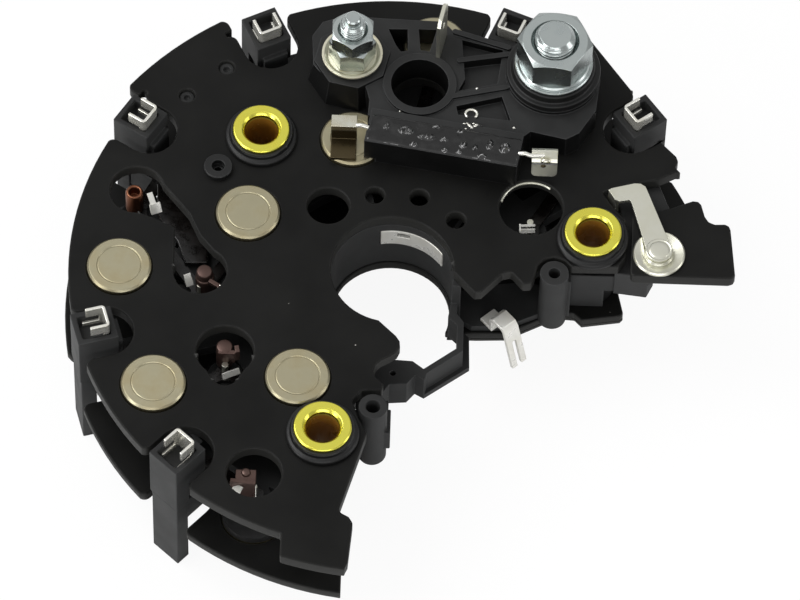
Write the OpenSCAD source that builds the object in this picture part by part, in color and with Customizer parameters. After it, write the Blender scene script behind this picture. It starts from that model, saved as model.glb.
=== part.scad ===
// Alternator rectifier: two horseshoe heat sinks held by a moulded frame with
// six lead towers, press-fit diodes, a terminal block with two studs and a
// potted capacitor. Millimetres, Z up, the shaft axis is X = 0, Y = 0 and the
// six feet stand on Z = 0.

/* [Heat sinks] */
// Outer radius of the upper heat sink
plate_r = 63.4; // [63.0:0.1:64.0]
// Outer radius of the lower heat sink, which stands a little proud of the upper one
lower_r = 64.4; // [64.0:0.1:64.8]
// Outer radius of the raised lobes of the upper heat sink
lobe_r = 67.4; // [66.0:0.1:68.5]
// Outer radius of the low end lobe of the upper heat sink
end_r = 68.2; // [67.0:0.1:69.0]
// Thickness of the upper heat sink
upper_t = 2.8; // [2.4:0.1:3.2]
// Thickness of the lower heat sink
lower_t = 1.9; // [1.6:0.1:2.4]
// Thickness of the backing sheet under the lower heat sink
backing_t = 0.9; // [0.6:0.1:1.2]
// How far the backing sheet stays inside the lower heat sink edge
backing_inset = 0.4; // [0.2:0.1:0.8]
// Clear height between the two heat sinks
plate_gap = 13.6; // [13.2:0.1:15.0]
// Radius of the shaft opening
shaft_r = 12; // [11.6:0.1:12.2]

/* [Lead towers] */
// Angle of the first lead tower
tower_a0 = 36.5; // [36.0:0.5:37.0]
// Angle between the two towers of a pair
tower_spread = 31.5; // [31.0:0.5:32.0]
// Angle from one tower pair to the next
tower_pitch = 80; // [79.5:0.5:80.5]
// Width of the heat sink notch round a tower
notch_w = 11; // [10.6:0.1:11.4]
// Radius at which the round end of a notch is centred
notch_mid_r = 57.8; // [57.5:0.1:58.0]
// Radius of the rounded corners where a notch meets the rim
notch_corner_r = 1.6; // [1.0:0.1:2.0]
// Width of a tower across its outer face
tower_w = 7.3; // [7.2:0.1:7.6]
// Radius of the outer face of a tower
tower_out_r = 63.9; // [63.6:0.1:64.2]
// Radial depth of a tower foot column
column_d = 3.6; // [3.2:0.1:4.0]
// Wall of the collar round the shaft opening
collar_wall = 1.7; // [1.5:0.1:1.9]
// Height of the thin angled rib beside the shaft opening
rib_h = 7.2; // [6.8:0.1:7.6]
// Thickness of the foot of that rib
rib_foot_h = 1.4; // [1.2:0.1:1.5]
// Step from the upper to the lower half of a foot column
column_step = 0.25; // [0.15:0.05:0.4]
// Height of the feet under the backing sheet
foot_h = 13.3; // [12.5:0.1:14.0]
// Height of a tower top above the upper heat sink
tower_rise = 3; // [2.6:0.1:3.4]
// Depth of the clip pocket in a tower top
pocket_h = 2.7; // [2.4:0.1:3.0]
// Wall round the clip pocket
pocket_wall = 1.1; // [0.9:0.1:1.3]

/* [Lead clips] */
// Sheet thickness of a lead clip
clip_t = 0.6; // [0.5:0.05:0.7]
// Width of a lead clip across its two arms
clip_w = 4.9; // [4.6:0.1:5.2]
// Length of the arms of a lead clip
clip_arm = 3.9; // [3.6:0.1:4.1]
// Height of a lead clip above its pocket floor
clip_h = 5.5; // [5.0:0.1:6.0]
// Height of the rails at the foot of a lead clip
clip_rail_h = 1.1; // [0.9:0.1:1.3]
// Height of the open windows in the arms of a lead clip
clip_window_h = 1.9; // [1.6:0.1:2.2]

/* [Diodes] */
// Diameter of a press-fit diode
diode_d = 12.8; // [12.6:0.05:13.0]
// Height of the diode cup
cup_h = 5.5; // [5.2:0.1:6.0]
// How far the diode cup stands proud of its heat sink
cup_proud = 0.9; // [0.6:0.1:1.2]
// Diameter of the shallow ring on the diode face
face_ring_d = 8.2; // [7.6:0.1:8.8]
// Diameter of the diode lead
lead_d = 1.3; // [1.2:0.05:1.5]
// Radius of the outer row of diodes
row_out_r = 53.4; // [53.2:0.1:53.6]
// Radius of the inner row of upper diodes
row_in_r = 31; // [30.8:0.1:31.2]
// Radius of the inner row of lower diodes
row_low_r = 37.6; // [37.4:0.1:37.8]
// Clearance round a pressed or seated part
seat_gap = 0.03; // [0.02:0.01:0.06]

/* [Mounting bushings] */
// Radius of the circle of the three mounting bushings
bush_ring_r = 40; // [39.8:0.1:40.2]
// Angle of the first mounting bushing
bush_a0 = 12; // [11.5:0.5:12.5]
// Bore of a mounting bushing
bush_bore = 6.6; // [6.4:0.1:6.8]
// Outside diameter of the bushing tube
bush_tube_d = 8.4; // [8.2:0.1:8.6]
// Flange diameter of a bushing
bush_flange_d = 11.3; // [11.0:0.1:11.6]
// Flange thickness of a bushing
bush_flange_t = 0.8; // [0.6:0.1:1.0]
// How far a bushing reaches below the backing sheet
bush_below = 0.8; // [0.4:0.1:1.2]
// Diameter of the wide foot of a stepped insulator
insul_foot_d = 14.3; // [14.0:0.1:14.6]
// Diameter of the upper step of a stepped insulator
insul_step_d = 12.6; // [12.2:0.1:12.8]
// Height of the stepped insulator above the heat sink
insul_h = 2.4; // [2.0:0.1:2.8]
// Outside diameter of the insulator sleeve between the heat sinks
insul_sleeve_d = 10; // [9.6:0.1:10.2]

/* [Terminal block] */
// Height of the terminal block
block_h = 6.6; // [6.2:0.1:7.0]
// Bore radius of the lead window in the block
window_r = 5.7; // [5.4:0.1:5.8]
// Width of the raised ring round the lead window
window_ring_w = 1.6; // [1.2:0.1:1.8]
// Rise of the ring and the ribs above the block
rib_rise = 0.6; // [0.4:0.1:0.8]
// Depth of the sunk panel beside the lead window
panel_depth = 1.8; // [1.4:0.1:2.2]
// Length of the capacitor trough
trough_l = 28.8; // [28.4:0.1:29.0]
// Width of the capacitor trough inside its walls
trough_w = 4.9; // [4.6:0.1:5.0]
// Wall of the capacitor trough
trough_wall = 0.9; // [0.8:0.05:1.0]
// Depth of the capacitor trough
trough_depth = 5.2; // [4.8:0.1:5.4]
// Angle of the capacitor trough
trough_angle = -9.4; // [-9.8:0.2:-9.0]

/* [Studs] */
// Thread diameter of the large stud
stud_l_d = 8; // [7.8:0.1:8.0]
// Height of the large stud above the upper heat sink
stud_l_h = 20.6; // [20.0:0.1:21.4]
// Width across flats of the large nut
nut_l_af = 13; // [12.8:0.1:13.2]
// Height of the large nut
nut_l_h = 6.8; // [6.4:0.1:7.0]
// Diameter of the washer under the large nut
washer_l_d = 15.5; // [15.0:0.1:16.0]
// Thickness of the washer under the large nut
washer_l_t = 1.6; // [1.4:0.1:1.8]
// Diameter of the insulating disc under the large washer
disc_d = 18.7; // [18.2:0.1:19.0]
// Height of the insulating disc
disc_h = 3.4; // [3.0:0.1:3.6]
// Thread diameter of the small stud
stud_s_d = 5; // [4.8:0.1:5.0]
// Height of the small stud above the upper heat sink
stud_s_h = 20.5; // [20.0:0.1:21.0]
// Width across flats of the small nut
nut_s_af = 8; // [7.8:0.1:8.2]
// Height of the small nut
nut_s_h = 4; // [3.8:0.1:4.4]
// Height of the lower nut on the small stud
nut_low_h = 5.1; // [4.8:0.1:5.4]
// Diameter of the dished washer under the small nut
dish_d = 12.1; // [11.6:0.1:12.4]
// Height of the dished washer
dish_h = 1.3; // [1.1:0.1:1.5]

/* [Tabs and straps] */
// Width of the blade terminal
blade_w = 6.3; // [6.0:0.1:6.3]
// Thickness of the blade terminal
blade_t = 0.8; // [0.7:0.05:0.9]
// Height of the blade terminal above the block
blade_h = 11.6; // [11.0:0.1:12.0]
// Sheet thickness of the straps and tabs
strap_t = 0.8; // [0.7:0.05:0.9]
// Width of the capacitor tabs
tab_w = 5.1; // [4.8:0.1:5.4]
// Depth of the flap on top of the first capacitor tab
tab_flap = 2.8; // [2.4:0.1:3.0]
// Lean of the second capacitor tab
tab_lean = 26; // [24:1:28]
// Diameter of the capacitor leads
cap_lead_d = 0.9; // [0.8:0.05:1.0]
// Diameter of the auxiliary diode disc
aux_disc_d = 10.3; // [10.0:0.1:10.6]
// Height of the auxiliary diode disc
aux_disc_h = 0.9; // [0.8:0.1:1.0]
// Width of the forked terminal
fork_w = 3.6; // [3.4:0.1:3.8]
// Thickness of the phase conductors
bar_t = 1; // [0.8:0.1:1.1]
// Width of the phase conductors
bar_w = 2.4; // [2.2:0.1:2.6]
// Radius of the eyes of the phase conductors
bar_eye_r = 1.9; // [1.8:0.1:2.0]

/* [Hidden] */
$fn = 64;
eps = 0.01;
// heights of the layers above the feet
z_back = foot_h;
z_low = z_back + backing_t;
z_low_top = z_low + lower_t;
z_up = z_low_top + plate_gap;
z_top = z_up + upper_t;
z_tower = z_top + tower_rise;
z_pocket = z_tower - pocket_h;
z_block = z_top + block_h;
web_t = 2.6;
z_web = z_low_top + plate_gap / 2 - 2.3;
z_bar = z_web + web_t;
cap_r = diode_d / 2;
hole_r = cap_r + seat_gap;
sleeve_r = insul_sleeve_d / 2;
column_in_r = tower_out_r - column_d;
clip_r = tower_out_r - pocket_wall - 5.6;
neck_in_r = clip_r - 2.4;
collar_r = shaft_r + collar_wall;
dish_floor = 0.6;
function polar(r, a) = [r * cos(a), r * sin(a)];
// tower angles: three pairs round the shaft
tower_angles = [for (p = [0:2], s = [0, 1]) tower_a0 + p * tower_pitch + s * tower_spread];
bush_angles = [bush_a0, bush_a0 + 120, bush_a0 + 240];
// upper diodes, cup side up
up_1 = polar(row_out_r, 181.7);
up_2 = polar(row_in_r, 157.8);
up_3 = polar(row_in_r, 235.4);
up_4 = polar(row_out_r, 211.6);
up_5 = polar(row_in_r, 106.3);
up_6 = polar(row_out_r, 82.5);
upper_diodes = [up_1, up_2, up_3, up_4, up_5, up_6];
// lower diodes, lead side up, each under an opening of the upper heat sink
low_1 = polar(row_out_r, 162);
low_2 = polar(row_low_r, 182.7);
low_3 = polar(row_low_r, 211.9);
low_4 = polar(row_out_r, 241.8);
low_5 = polar(row_low_r + 1.9, 83.8);
low_6 = polar(row_in_r, 29.6);
lower_diodes = [low_1, low_2, low_3, low_4, low_5, low_6];
stud_l_pos = [30.6, 42.6];
stud_s_pos = [-9.3, 45.2];
post_pos = [31.8, 0.2];
boss_pos = [-2.8, -32];
pin_pos = [-35, 21.9];
aux_pos = [52.2, 5.2];
blade_pos = [8.3, 48.6];
stake_1 = [-34.3, 46];
stake_2 = [-41.9, 39];
small_1 = [-3.9, 17];
small_2 = [4.9, 16.8];
small_3 = [12.2, 11.8];
trough_pos = [9.3, 26];

// Shared outlines

// a radial notch with a round inner end, open at the rim
module notch_2d(w) {
  translate([notch_mid_r, 0]) circle(d = w);
  translate([notch_mid_r, -w / 2]) square([20, w]);
}

// the little corner pieces that round the rim beside a notch
module notch_corners_2d(w, rim) {
  for (s = [-1, 1])
    scale([1, s])
      difference() {
        translate([rim - notch_corner_r - 0.3, w / 2 - eps])
          square([notch_corner_r + 1, notch_corner_r + eps]);
        translate([rim - notch_corner_r - 0.3, w / 2 + notch_corner_r]) circle(r = notch_corner_r);
      }
}

// a wedge of the plane between two angles
module wedge_2d(a0, a1, r) {
  polygon(concat([[0, 0]], [for (i = [0:6]) polar(r, a0 + (a1 - a0) * i / 6)]));
}

// a strip of width w from p to q with round ends
module strip_2d(p, q, w) {
  d = q - p;
  translate(p) rotate(atan2(d[1], d[0])) {
    translate([0, -w / 2]) square([norm(d), w]);
    circle(d = w);
    translate([norm(d), 0]) circle(d = w);
  }
}

// the part of the upper heat sink that is cut away round the shaft side
module upper_open_2d() {
  polygon([[-2.3, -11.75], [1.2, -15.2], [1.95, -16.4], [2.05, -17.7], [1.5, -19],
    [0.1, -20.1], [-1.5, -21], [-2.5, -22.1], [-2.9, -23.4], [-2.6, -24.6], [-0.9, -26.2],
    [-1.1, -27.8], [-5, -27.9], [-6.9, -30.2], [-5.4, -34.2], [-3.8, -37.6], [-8.6, -54.6],
    [-8.2, -55.3], [-6.7, -56.1], [-5.9, -57.4], [-6.6, -66.3], [-7.1, -67.4], [-7, -90],
    [80, -90], [90, 24.8], [55.4, 24.6], [52, 22.7], [44.6, 20.9], [41, 19.3], [43.1, 16.2],
    [45.6, 13.4], [45.7, 4.4], [44.2, 2.1], [35, 1.9], [33.9, 3.2], [31.9, 4],
    [29.8, 3.4], [28.5, 1.9], [27.9, -0.9], [27.2, -2.4], [25.7, -2.6], [23.3, 0.2],
    [21.7, -0.2], [17.6, -4.7], [16.2, -4.9], [11.7, 0.2], [11.9, 1.8], [3, -6]]);
}

module tower_notches_2d(w, rim) {
  for (a = tower_angles)
    rotate(a) {
      notch_2d(w);
      notch_corners_2d(w, rim);
    }
}

module upper_outline_2d() {
  difference() {
    union() {
      circle(r = plate_r, $fn = 128);
      // raised lobe between the second pair of towers
      intersection() {
        circle(r = lobe_r, $fn = 128);
        wedge_2d(tower_angles[2], tower_angles[3], 90);
      }
      // lobe beside the large stud, clipped by a straight edge
      intersection() {
        circle(r = lobe_r, $fn = 128);
        polygon([[18, 30], [27, 72], [37.5, 56.4], [46.9, 43.1], [41, 36]]);
      }
      // low end lobe
      intersection() {
        circle(r = end_r, $fn = 128);
        polygon([[-19.6, -50], [-19.6, -65.4], [-19.2, -66.4], [-6, -70], [0, -50]]);
      }
    }
    circle(r = shaft_r);
    upper_open_2d();
    // the free corner beside the last tower
    polygon([[52.3, 31.8], [55.5, 28.4], [55.9, 27.2], [55.3, 25.8], [70, 10], [80, 50]]);
    tower_notches_2d(notch_w, plate_r);
    // rounded corners of the raised lobe
    rotate(tower_angles[2]) notch_corners_2d(notch_w, lobe_r);
    rotate(tower_angles[3]) notch_corners_2d(notch_w, lobe_r);
  }
}

// openings of the upper heat sink
module upper_holes_2d() {
  for (p = upper_diodes) translate(p) circle(r = hole_r);
  // joined keyhole over the first two lower diodes
  translate(low_1) circle(r = 5.3);
  translate(low_2) circle(r = 5.2);
  polygon([[-46.9, 20], [-45.6, 17.8], [-40.3, 11.3], [-38, 6.3], [-34.9, 2.6], [-37.6, -1.8],
    [-42.75, -0.6], [-42.9, 7.9], [-46, 9.6], [-50, 11.2], [-50.8, 16.5]]);
  // tear shaped opening over the third lower diode
  translate(low_3) circle(r = 5.6);
  translate(low_3 + [0.2, -5.2]) circle(r = 2.6);
  translate(low_3) polygon([[-5.45, -1.3], [-2.1, -6.5], [2.6, -6.3], [5.5, -1.2]]);
  translate(low_4) circle(r = 5.35);
  translate(low_5) circle(r = window_r);
  // empty press-fit seat over the last lower diode
  translate(low_6) circle(r = 6.3);
  translate([-13, 14.2]) circle(r = 4.15);
  translate(small_1) circle(r = 1.85);
  translate(small_2) circle(r = 1.85);
  translate(small_3) circle(r = 1.85);
  for (a = bush_angles) translate(polar(bush_ring_r, a)) circle(r = sleeve_r + seat_gap);
  translate(stud_l_pos) circle(d = stud_l_d + 0.6);
  translate(pin_pos) circle(d = 2.4 + 2 * seat_gap);
  for (p = [stake_1, stake_2]) translate(p) circle(d = 3 + 2 * seat_gap);
}

module upper_heat_sink() {
  color([0.09, 0.09, 0.1])
    translate([0, 0, z_up])
      linear_extrude(upper_t)
        difference() {
          upper_outline_2d();
          upper_holes_2d();
        }
}

// outline of the lower heat sink and its backing sheet
module lower_outline_2d(inset) {
  difference() {
    circle(r = lower_r - inset, $fn = 128);
    circle(r = shaft_r - 0.4 + inset);
    polygon([[-2.3, -11.2], [-3, -16], [-7, -22], [-8, -27.2], [-8, -34.6], [-9.5, -44],
      [-7.9, -52], [-7.9, -90], [90, -90], [90, 26], [49.2, 26], [47, 16], [44.9, 6.6],
      [46, 1.6], [45.4, 0.9], [37.8, -0.4], [36.4, 1.1], [33, 1.3], [23, -4], [17, -4.3], [0, -4.4]]);
    for (a = tower_angles) rotate(a) notch_2d(notch_w);
    for (p = lower_diodes) translate(p) circle(r = hole_r);
    for (a = bush_angles) translate(polar(bush_ring_r, a)) circle(d = bush_tube_d + 2 * seat_gap);
    translate(post_pos) circle(r = 1.25);
  }
}

module lower_heat_sink() {
  color([0.09, 0.09, 0.1])
    translate([0, 0, z_low])
      linear_extrude(lower_t)
        difference() {
          lower_outline_2d(0);
          for (a = tower_angles) rotate(a) notch_corners_2d(notch_w, lower_r);
        }
}

module backing_sheet() {
  color([0.13, 0.13, 0.14])
    translate([0, 0, z_back])
      linear_extrude(backing_t)
        difference() {
          lower_outline_2d(backing_inset);
          for (a = tower_angles) rotate(a) notch_corners_2d(notch_w, lower_r - backing_inset);
        }
}

// the separate end piece at the level of the upper heat sink
module auxiliary_outline_2d() {
  polygon([[46.9, 13.9], [54.3, 16.2], [58.8, 18.1], [59.9, 18], [60.5, 17.3], [61.2, 14.6],
    [62, 13.3], [63.2, 12.8], [65.2, 12.9], [66, 12.5], [66.3, 11.6], [67.2, 1.2],
    [66.9, 0.5], [66.2, 0.2], [47.3, 0.2], [46.7, 0.8]]);
}

module auxiliary_heat_sink() {
  color([0.09, 0.09, 0.1])
    translate([0, 0, z_up])
      linear_extrude(upper_t)
        difference() {
          auxiliary_outline_2d();
          translate(aux_pos) circle(r = 2 + seat_gap);
        }
}

// Moulded frame

// one lead tower: foot column, neck and the top with its clip pocket
module lead_tower(i) {
  half = z_web + 0.4;
  color([0.13, 0.13, 0.14])
    rotate(tower_angles[i])
      difference() {
        union() {
          // foot column in two drafted halves with a parting step
          translate([column_in_r + column_step, -tower_w / 2 + column_step, 0])
            cube([column_d - 2 * column_step, tower_w - 2 * column_step, half + eps]);
          translate([column_in_r, -tower_w / 2, half]) cube([column_d, tower_w, z_tower - half]);
          // top block
          translate([clip_r - 1.4, -tower_w / 2, z_up - 1.2])
            cube([tower_out_r - clip_r + 1.4, tower_w, z_tower - z_up + 1.2]);
          // neck seen in the notch of the heat sink
          translate([neck_in_r, -2.6, z_web]) cube([6, 5.2, z_top - 0.4 - z_web]);
        }
        translate([clip_r - 0.1, -tower_w / 2 + pocket_wall, z_pocket])
          cube([tower_out_r - pocket_wall - clip_r + 0.1, tower_w - 2 * pocket_wall, pocket_h + 1]);
      }
}

module lead_tower_1() lead_tower(0);
module lead_tower_2() lead_tower(1);
module lead_tower_3() lead_tower(2);
module lead_tower_4() lead_tower(3);
module lead_tower_5() lead_tower(4);
module lead_tower_6() lead_tower(5);

module web_2d() {
  difference() {
    union() {
      difference() {
        circle(r = 50, $fn = 96);
        circle(r = 44, $fn = 96);
      }
      difference() {
        circle(r = 34, $fn = 96);
        circle(r = 26, $fn = 96);
      }
      // spokes out to the lead towers
      for (a = tower_angles) rotate(a) translate([44, -3]) square([neck_in_r - 44, 6]);
      // spokes between the two rings
      for (a = [36.5, 68, 94, 116.5, 148, 172, 196.5, 222]) rotate(a) translate([30, -3]) square([18, 6]);
      for (a = [60, 106, 146, 190]) rotate(a) translate([12.6, -2.4]) square([16, 4.8]);
      for (p = concat(upper_diodes, lower_diodes)) translate(p) circle(r = 3.4);
      strip_2d(low_1, polar(46, 158), 5);
      strip_2d(up_1, polar(46, 184), 5);
      strip_2d(up_4, polar(46, 209), 5);
      strip_2d(low_4, polar(46, 238), 5);
      strip_2d(up_6, polar(46, 84), 5);
      strip_2d(low_2, polar(46, 182.7), 5);
      strip_2d(low_3, polar(46, 211.9), 5);
      strip_2d(low_5, polar(46, 88), 5);
    }
    // nothing of the web on the open side
    polygon([[11, -5], [0, -12], [-6, -22], [-12, -44], [-16, -49], [-14, -90], [90, -90],
      [90, 22], [46, 26], [38, 22], [32, 8], [25.6, 5], [14, 4]]);
    for (p = concat(upper_diodes, lower_diodes)) translate(p) circle(r = 1.2);
    for (a = bush_angles) translate(polar(bush_ring_r, a)) circle(r = sleeve_r + seat_gap);
    translate(stud_l_pos) circle(r = 6.2);
    circle(r = collar_r, $fn = 96);
  }
}

// a ring round the shaft axis, kept between two angles
module ring_piece(r0, r1, h, a0, a1) {
  linear_extrude(h)
    intersection() {
      difference() {
        circle(r = r1, $fn = 96);
        circle(r = r0, $fn = 96);
      }
      wedge_2d(a0, a1, r1 * 1.6);
    }
}

// the web with its spokes and distance ribs
module terminal_frame() {
  color([0.13, 0.13, 0.14])
    difference() {
      union() {
        translate([0, 0, z_web]) linear_extrude(web_t) web_2d();
        // bridge and riser under the end carrier
        translate([0, 0, z_web])
          linear_extrude(web_t) polygon([[44, 22], [50, 20], [51.6, 24], [50, 31], [44, 30]]);
        translate([46.4, 20.4, z_web]) cube([3.6, 3.6, z_up - 3 - z_web]);
        // distance ribs that carry the upper heat sink
        for (a = [60, 106, 146, 190]) rotate(a) translate([15, -0.9, z_web]) cube([8, 1.8, z_up - z_web]);
      }
      for (a = bush_angles)
        translate(concat(polar(bush_ring_r, a), [z_low_top - 2])) cylinder(r = sleeve_r + seat_gap, h = 40);
    }
}

// collar of the shaft opening with its angled rib, floor flange and hollow post
module shaft_collar() {
  color([0.13, 0.13, 0.14])
    difference() {
      union() {
        translate([0, 0, z_low_top]) ring_piece(shaft_r, collar_r, plate_gap, -8, 205);
        // foot of the angled rib from the collar to the boss
        translate([0, 0, z_low_top])
          linear_extrude(rib_foot_h)
            polygon([[11.9, 1.5], [13.6, 1.4], [13.9, -4.6], [15.6, -6], [15.8, -12.9],
              [7, -19.6], [5.2, -18.6], [3.6, -20.6], [0.2, -20.9], [-2.6, -25], [-5.4, -24.8],
              [-5.8, -21.2], [-2.4, -16.6], [0.9, -15.2], [4.6, -15.4], [6.8, -17.1],
              [13.2, -12.1], [13.1, -6.8], [11.3, -5], [11.8, -1.5]]);
        // thin upright wall of that rib
        translate([0, 0, z_low_top])
          linear_extrude(rib_h)
            polygon([[11.9, 1.5], [12.9, 1.4], [13, -4.2], [14.4, -6.1], [14.4, -12.7],
              [7.4, -18.1], [7, -19.6], [5.2, -18.6], [3.6, -20.6], [0.2, -20.9], [-2.6, -25],
              [-5.4, -24.8], [-5.8, -21.2], [-2.4, -16.6], [0.9, -15.2], [4.6, -15.4], [6.8, -17.1],
              [13.2, -12.1], [13.1, -6.8], [11.3, -5], [11.8, -1.5]]);
        // floor flange between the collar and the hollow post
        translate([0, 0, z_low_top])
          linear_extrude(1.6)
            polygon([[12.4, 4], [13.4, -2], [16, -3.6], [22.6, -3.3], [30, 0.2], [34, 1],
              [34, 6], [26, 7], [18, 6]]);
        // hollow post beside the second bushing
        translate([post_pos[0], post_pos[1], z_low_top]) cylinder(d = 5.6, h = z_top - z_low_top);
        translate([post_pos[0], post_pos[1] + 0.4, z_low_top]) cube([3.4, 2.2, plate_gap - 1]);
      }
      translate([post_pos[0], post_pos[1], z_low_top - 1]) cylinder(r = 1.2, h = 40);
      translate([0.8, -18.3, z_low_top - 1]) cylinder(r = 0.6, h = 20);
      // seat of the collar contact
      translate([0, 0, z_top - 9.6]) ring_piece(shaft_r - 1, shaft_r + 0.6, 4.6, 34, 103);
    }
}

// hollow boss beside the third bushing
module frame_boss() {
  color([0.13, 0.13, 0.14])
    difference() {
      union() {
        translate([boss_pos[0], boss_pos[1], z_low_top - 0.6]) cylinder(d = 5.6, h = z_top + 1.6 - z_low_top);
        // lug that joins the angled rib
        translate([0, 0, z_low_top])
          linear_extrude(8)
            polygon([[-6.2, -31], [0.2, -31], [0.2, -25], [-2.6, -25], [-5.4, -24.8], [-6.2, -24.8]]);
        translate([-0.8, -33.6, z_low_top + 4]) cube([1.5, 5.4, 6]);
      }
      translate([boss_pos[0], boss_pos[1], z_low_top + 3]) cylinder(r = 1.4, h = 40);
    }
}

// carrier under the auxiliary heat sink, with the block in front of the bushing
module end_carrier() {
  color([0.13, 0.13, 0.14])
    difference() {
      union() {
        translate([0, 0, z_up - 3])
          linear_extrude(3)
            polygon([[44.6, 2.4], [50.2, 1.6], [56, 4], [57, 14], [54.6, 17.2], [52.2, 23.6],
              [47, 25.4], [43.4, 22], [45.4, 14.2]]);
        translate([0, 0, z_up - 7.6])
          linear_extrude(7.6)
            polygon([[43.6, 2.4], [50.2, 1.6], [51.6, 4.6], [45.4, 5]]);
        // block that stands on the lower heat sink
        translate([34.9, 2.9, z_low_top]) cube([7, 5.4, 11.4]);
        translate([41.6, 2.9, z_up - 7.6]) cube([3.4, 1.9, 5.4]);
      }
      translate(concat(aux_pos, [z_up - 4])) cylinder(r = 2.4, h = 8);
      translate(concat(polar(bush_ring_r, bush_a0), [z_low_top - 2]))
        cylinder(r = sleeve_r + seat_gap, h = 40);
    }
}

// Diodes

// a press-fit diode with its cup at the bottom and the lead up
module diode(lead_top) {
  rotate_extrude($fn = 64)
    polygon([[0, 0.25], [face_ring_d / 2 - 0.5, 0.25], [face_ring_d / 2 - 0.2, 0.02], [face_ring_d / 2, 0],
      [cap_r - 0.35, 0], [cap_r, 0.35], [cap_r, cup_h - 0.2], [cap_r - 0.2, cup_h],
      [cap_r - 0.9, cup_h], [cap_r - 0.9, cup_h - 0.6], [2.6, cup_h - 0.5], [1.6, cup_h + 0.6],
      [lead_d / 2, cup_h + 1], [lead_d / 2, lead_top - 0.2], [lead_d / 2 - 0.2, lead_top], [0, lead_top]]);
}

module upper_diode(p) {
  color([0.74, 0.71, 0.62])
    translate([p[0], p[1], z_top + cup_proud])
      mirror([0, 0, 1]) diode(z_top + cup_proud - z_bar + 2);
}

module lower_diode(p) {
  color([0.74, 0.71, 0.62])
    translate([p[0], p[1], z_back - cup_proud]) diode(z_top - 5.4 - z_back + cup_proud);
}

module upper_diode_1() upper_diode(up_1);
module upper_diode_2() upper_diode(up_2);
module upper_diode_3() upper_diode(up_3);
module upper_diode_4() upper_diode(up_4);
module upper_diode_5() upper_diode(up_5);
module upper_diode_6() upper_diode(up_6);
module lower_diode_1() lower_diode(low_1);
module lower_diode_2() lower_diode(low_2);
module lower_diode_3() lower_diode(low_3);
module lower_diode_4() lower_diode(low_4);
module lower_diode_5() lower_diode(low_5);
module lower_diode_6() lower_diode(low_6);

// Mounting bushings with their stepped insulators

module bushing(i) {
  tube_h = z_top + insul_h + bush_flange_t - z_back + bush_below;
  color([0.83, 0.68, 0.22])
    translate(concat(polar(bush_ring_r, bush_angles[i]), [z_back - bush_below]))
      rotate_extrude($fn = 64)
        polygon([[bush_bore / 2, 0], [bush_tube_d / 2, 0], [bush_tube_d / 2, tube_h - bush_flange_t],
          [bush_flange_d / 2, tube_h - bush_flange_t], [bush_flange_d / 2, tube_h - 0.25],
          [bush_flange_d / 2 - 0.25, tube_h], [bush_bore / 2 + 0.6, tube_h], [bush_bore / 2, tube_h - 0.6]]);
}

module insulator(i) {
  color([0.12, 0.12, 0.13])
    translate(concat(polar(bush_ring_r, bush_angles[i]), [0]))
      rotate_extrude($fn = 64)
        polygon([[bush_tube_d / 2 + seat_gap, z_low_top], [sleeve_r, z_low_top], [sleeve_r, z_top],
          [insul_foot_d / 2, z_top], [insul_foot_d / 2, z_top + 0.8], [insul_foot_d / 2 - 0.4, z_top + 1.2],
          [insul_step_d / 2, z_top + 1.2], [insul_step_d / 2, z_top + insul_h - 0.3],
          [insul_step_d / 2 - 0.3, z_top + insul_h], [bush_tube_d / 2 + seat_gap, z_top + insul_h]]);
}

module bushing_1() bushing(0);
module bushing_2() bushing(1);
module bushing_3() bushing(2);
module insulator_1() insulator(0);
module insulator_2() insulator(1);
module insulator_3() insulator(2);

// Lead clips

// bent sheet clip, a U seen from above, with windows in its arms over two rails
module lead_clip(i) {
  bend = 0.8;
  color([0.86, 0.86, 0.84])
    rotate(tower_angles[i])
      translate([clip_r, 0, z_pocket])
        difference() {
          union() {
            linear_extrude(clip_h)
              difference() {
                union() {
                  translate([0, -clip_w / 2 + bend]) square([clip_arm, clip_w - 2 * bend]);
                  translate([bend, -clip_w / 2]) square([clip_arm - bend, clip_w]);
                  translate([bend, clip_w / 2 - bend]) circle(r = bend);
                  translate([bend, -clip_w / 2 + bend]) circle(r = bend);
                }
                translate([clip_t, -clip_w / 2 + clip_t]) square([clip_arm, clip_w - 2 * clip_t]);
              }
            // rails that reach past the arms on the pocket floor
            for (s = [-1, 1])
              translate([0.9, s * (clip_w / 2 - clip_t / 2) - clip_t / 2, 0])
                cube([clip_arm - 0.1, clip_t, clip_rail_h]);
          }
          translate([clip_t + 0.7, -clip_w, clip_rail_h]) cube([clip_arm, 2 * clip_w, clip_window_h]);
        }
}

module lead_clip_1() lead_clip(0);
module lead_clip_2() lead_clip(1);
module lead_clip_3() lead_clip(2);
module lead_clip_4() lead_clip(3);
module lead_clip_5() lead_clip(4);
module lead_clip_6() lead_clip(5);

// Phase conductors on the web

module bar_2d(points) {
  for (i = [0:len(points) - 2]) strip_2d(points[i], points[i + 1], bar_w);
}

module phase_bar(paths, leads) {
  color([0.62, 0.36, 0.22])
    translate([0, 0, z_bar])
      linear_extrude(bar_t)
        difference() {
          union() {
            for (p = paths) bar_2d(p);
            for (p = leads) translate(p) circle(r = bar_eye_r);
          }
          for (p = leads) translate(p) circle(r = lead_d / 2 + seat_gap);
        }
}

module phase_bar_1() {
  tail = polar(clip_r - 4.2, tower_angles[0]);
  tail2 = polar(clip_r - 4.2, tower_angles[1]);
  phase_bar([[tail, [36, 31], [22, 35], low_5], [[36, 31], low_6], [low_5, up_6, tail2], [low_5, up_5]],
    [low_5, low_6, up_5, up_6]);
}

module phase_bar_2() {
  tail = polar(clip_r - 4.2, tower_angles[3]);
  tail2 = polar(clip_r - 4.2, tower_angles[2]);
  phase_bar([[tail2, [-34, 38.5], tail, low_1, up_1], [low_1, low_2, up_2]], [low_1, low_2, up_1, up_2]);
}

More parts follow.
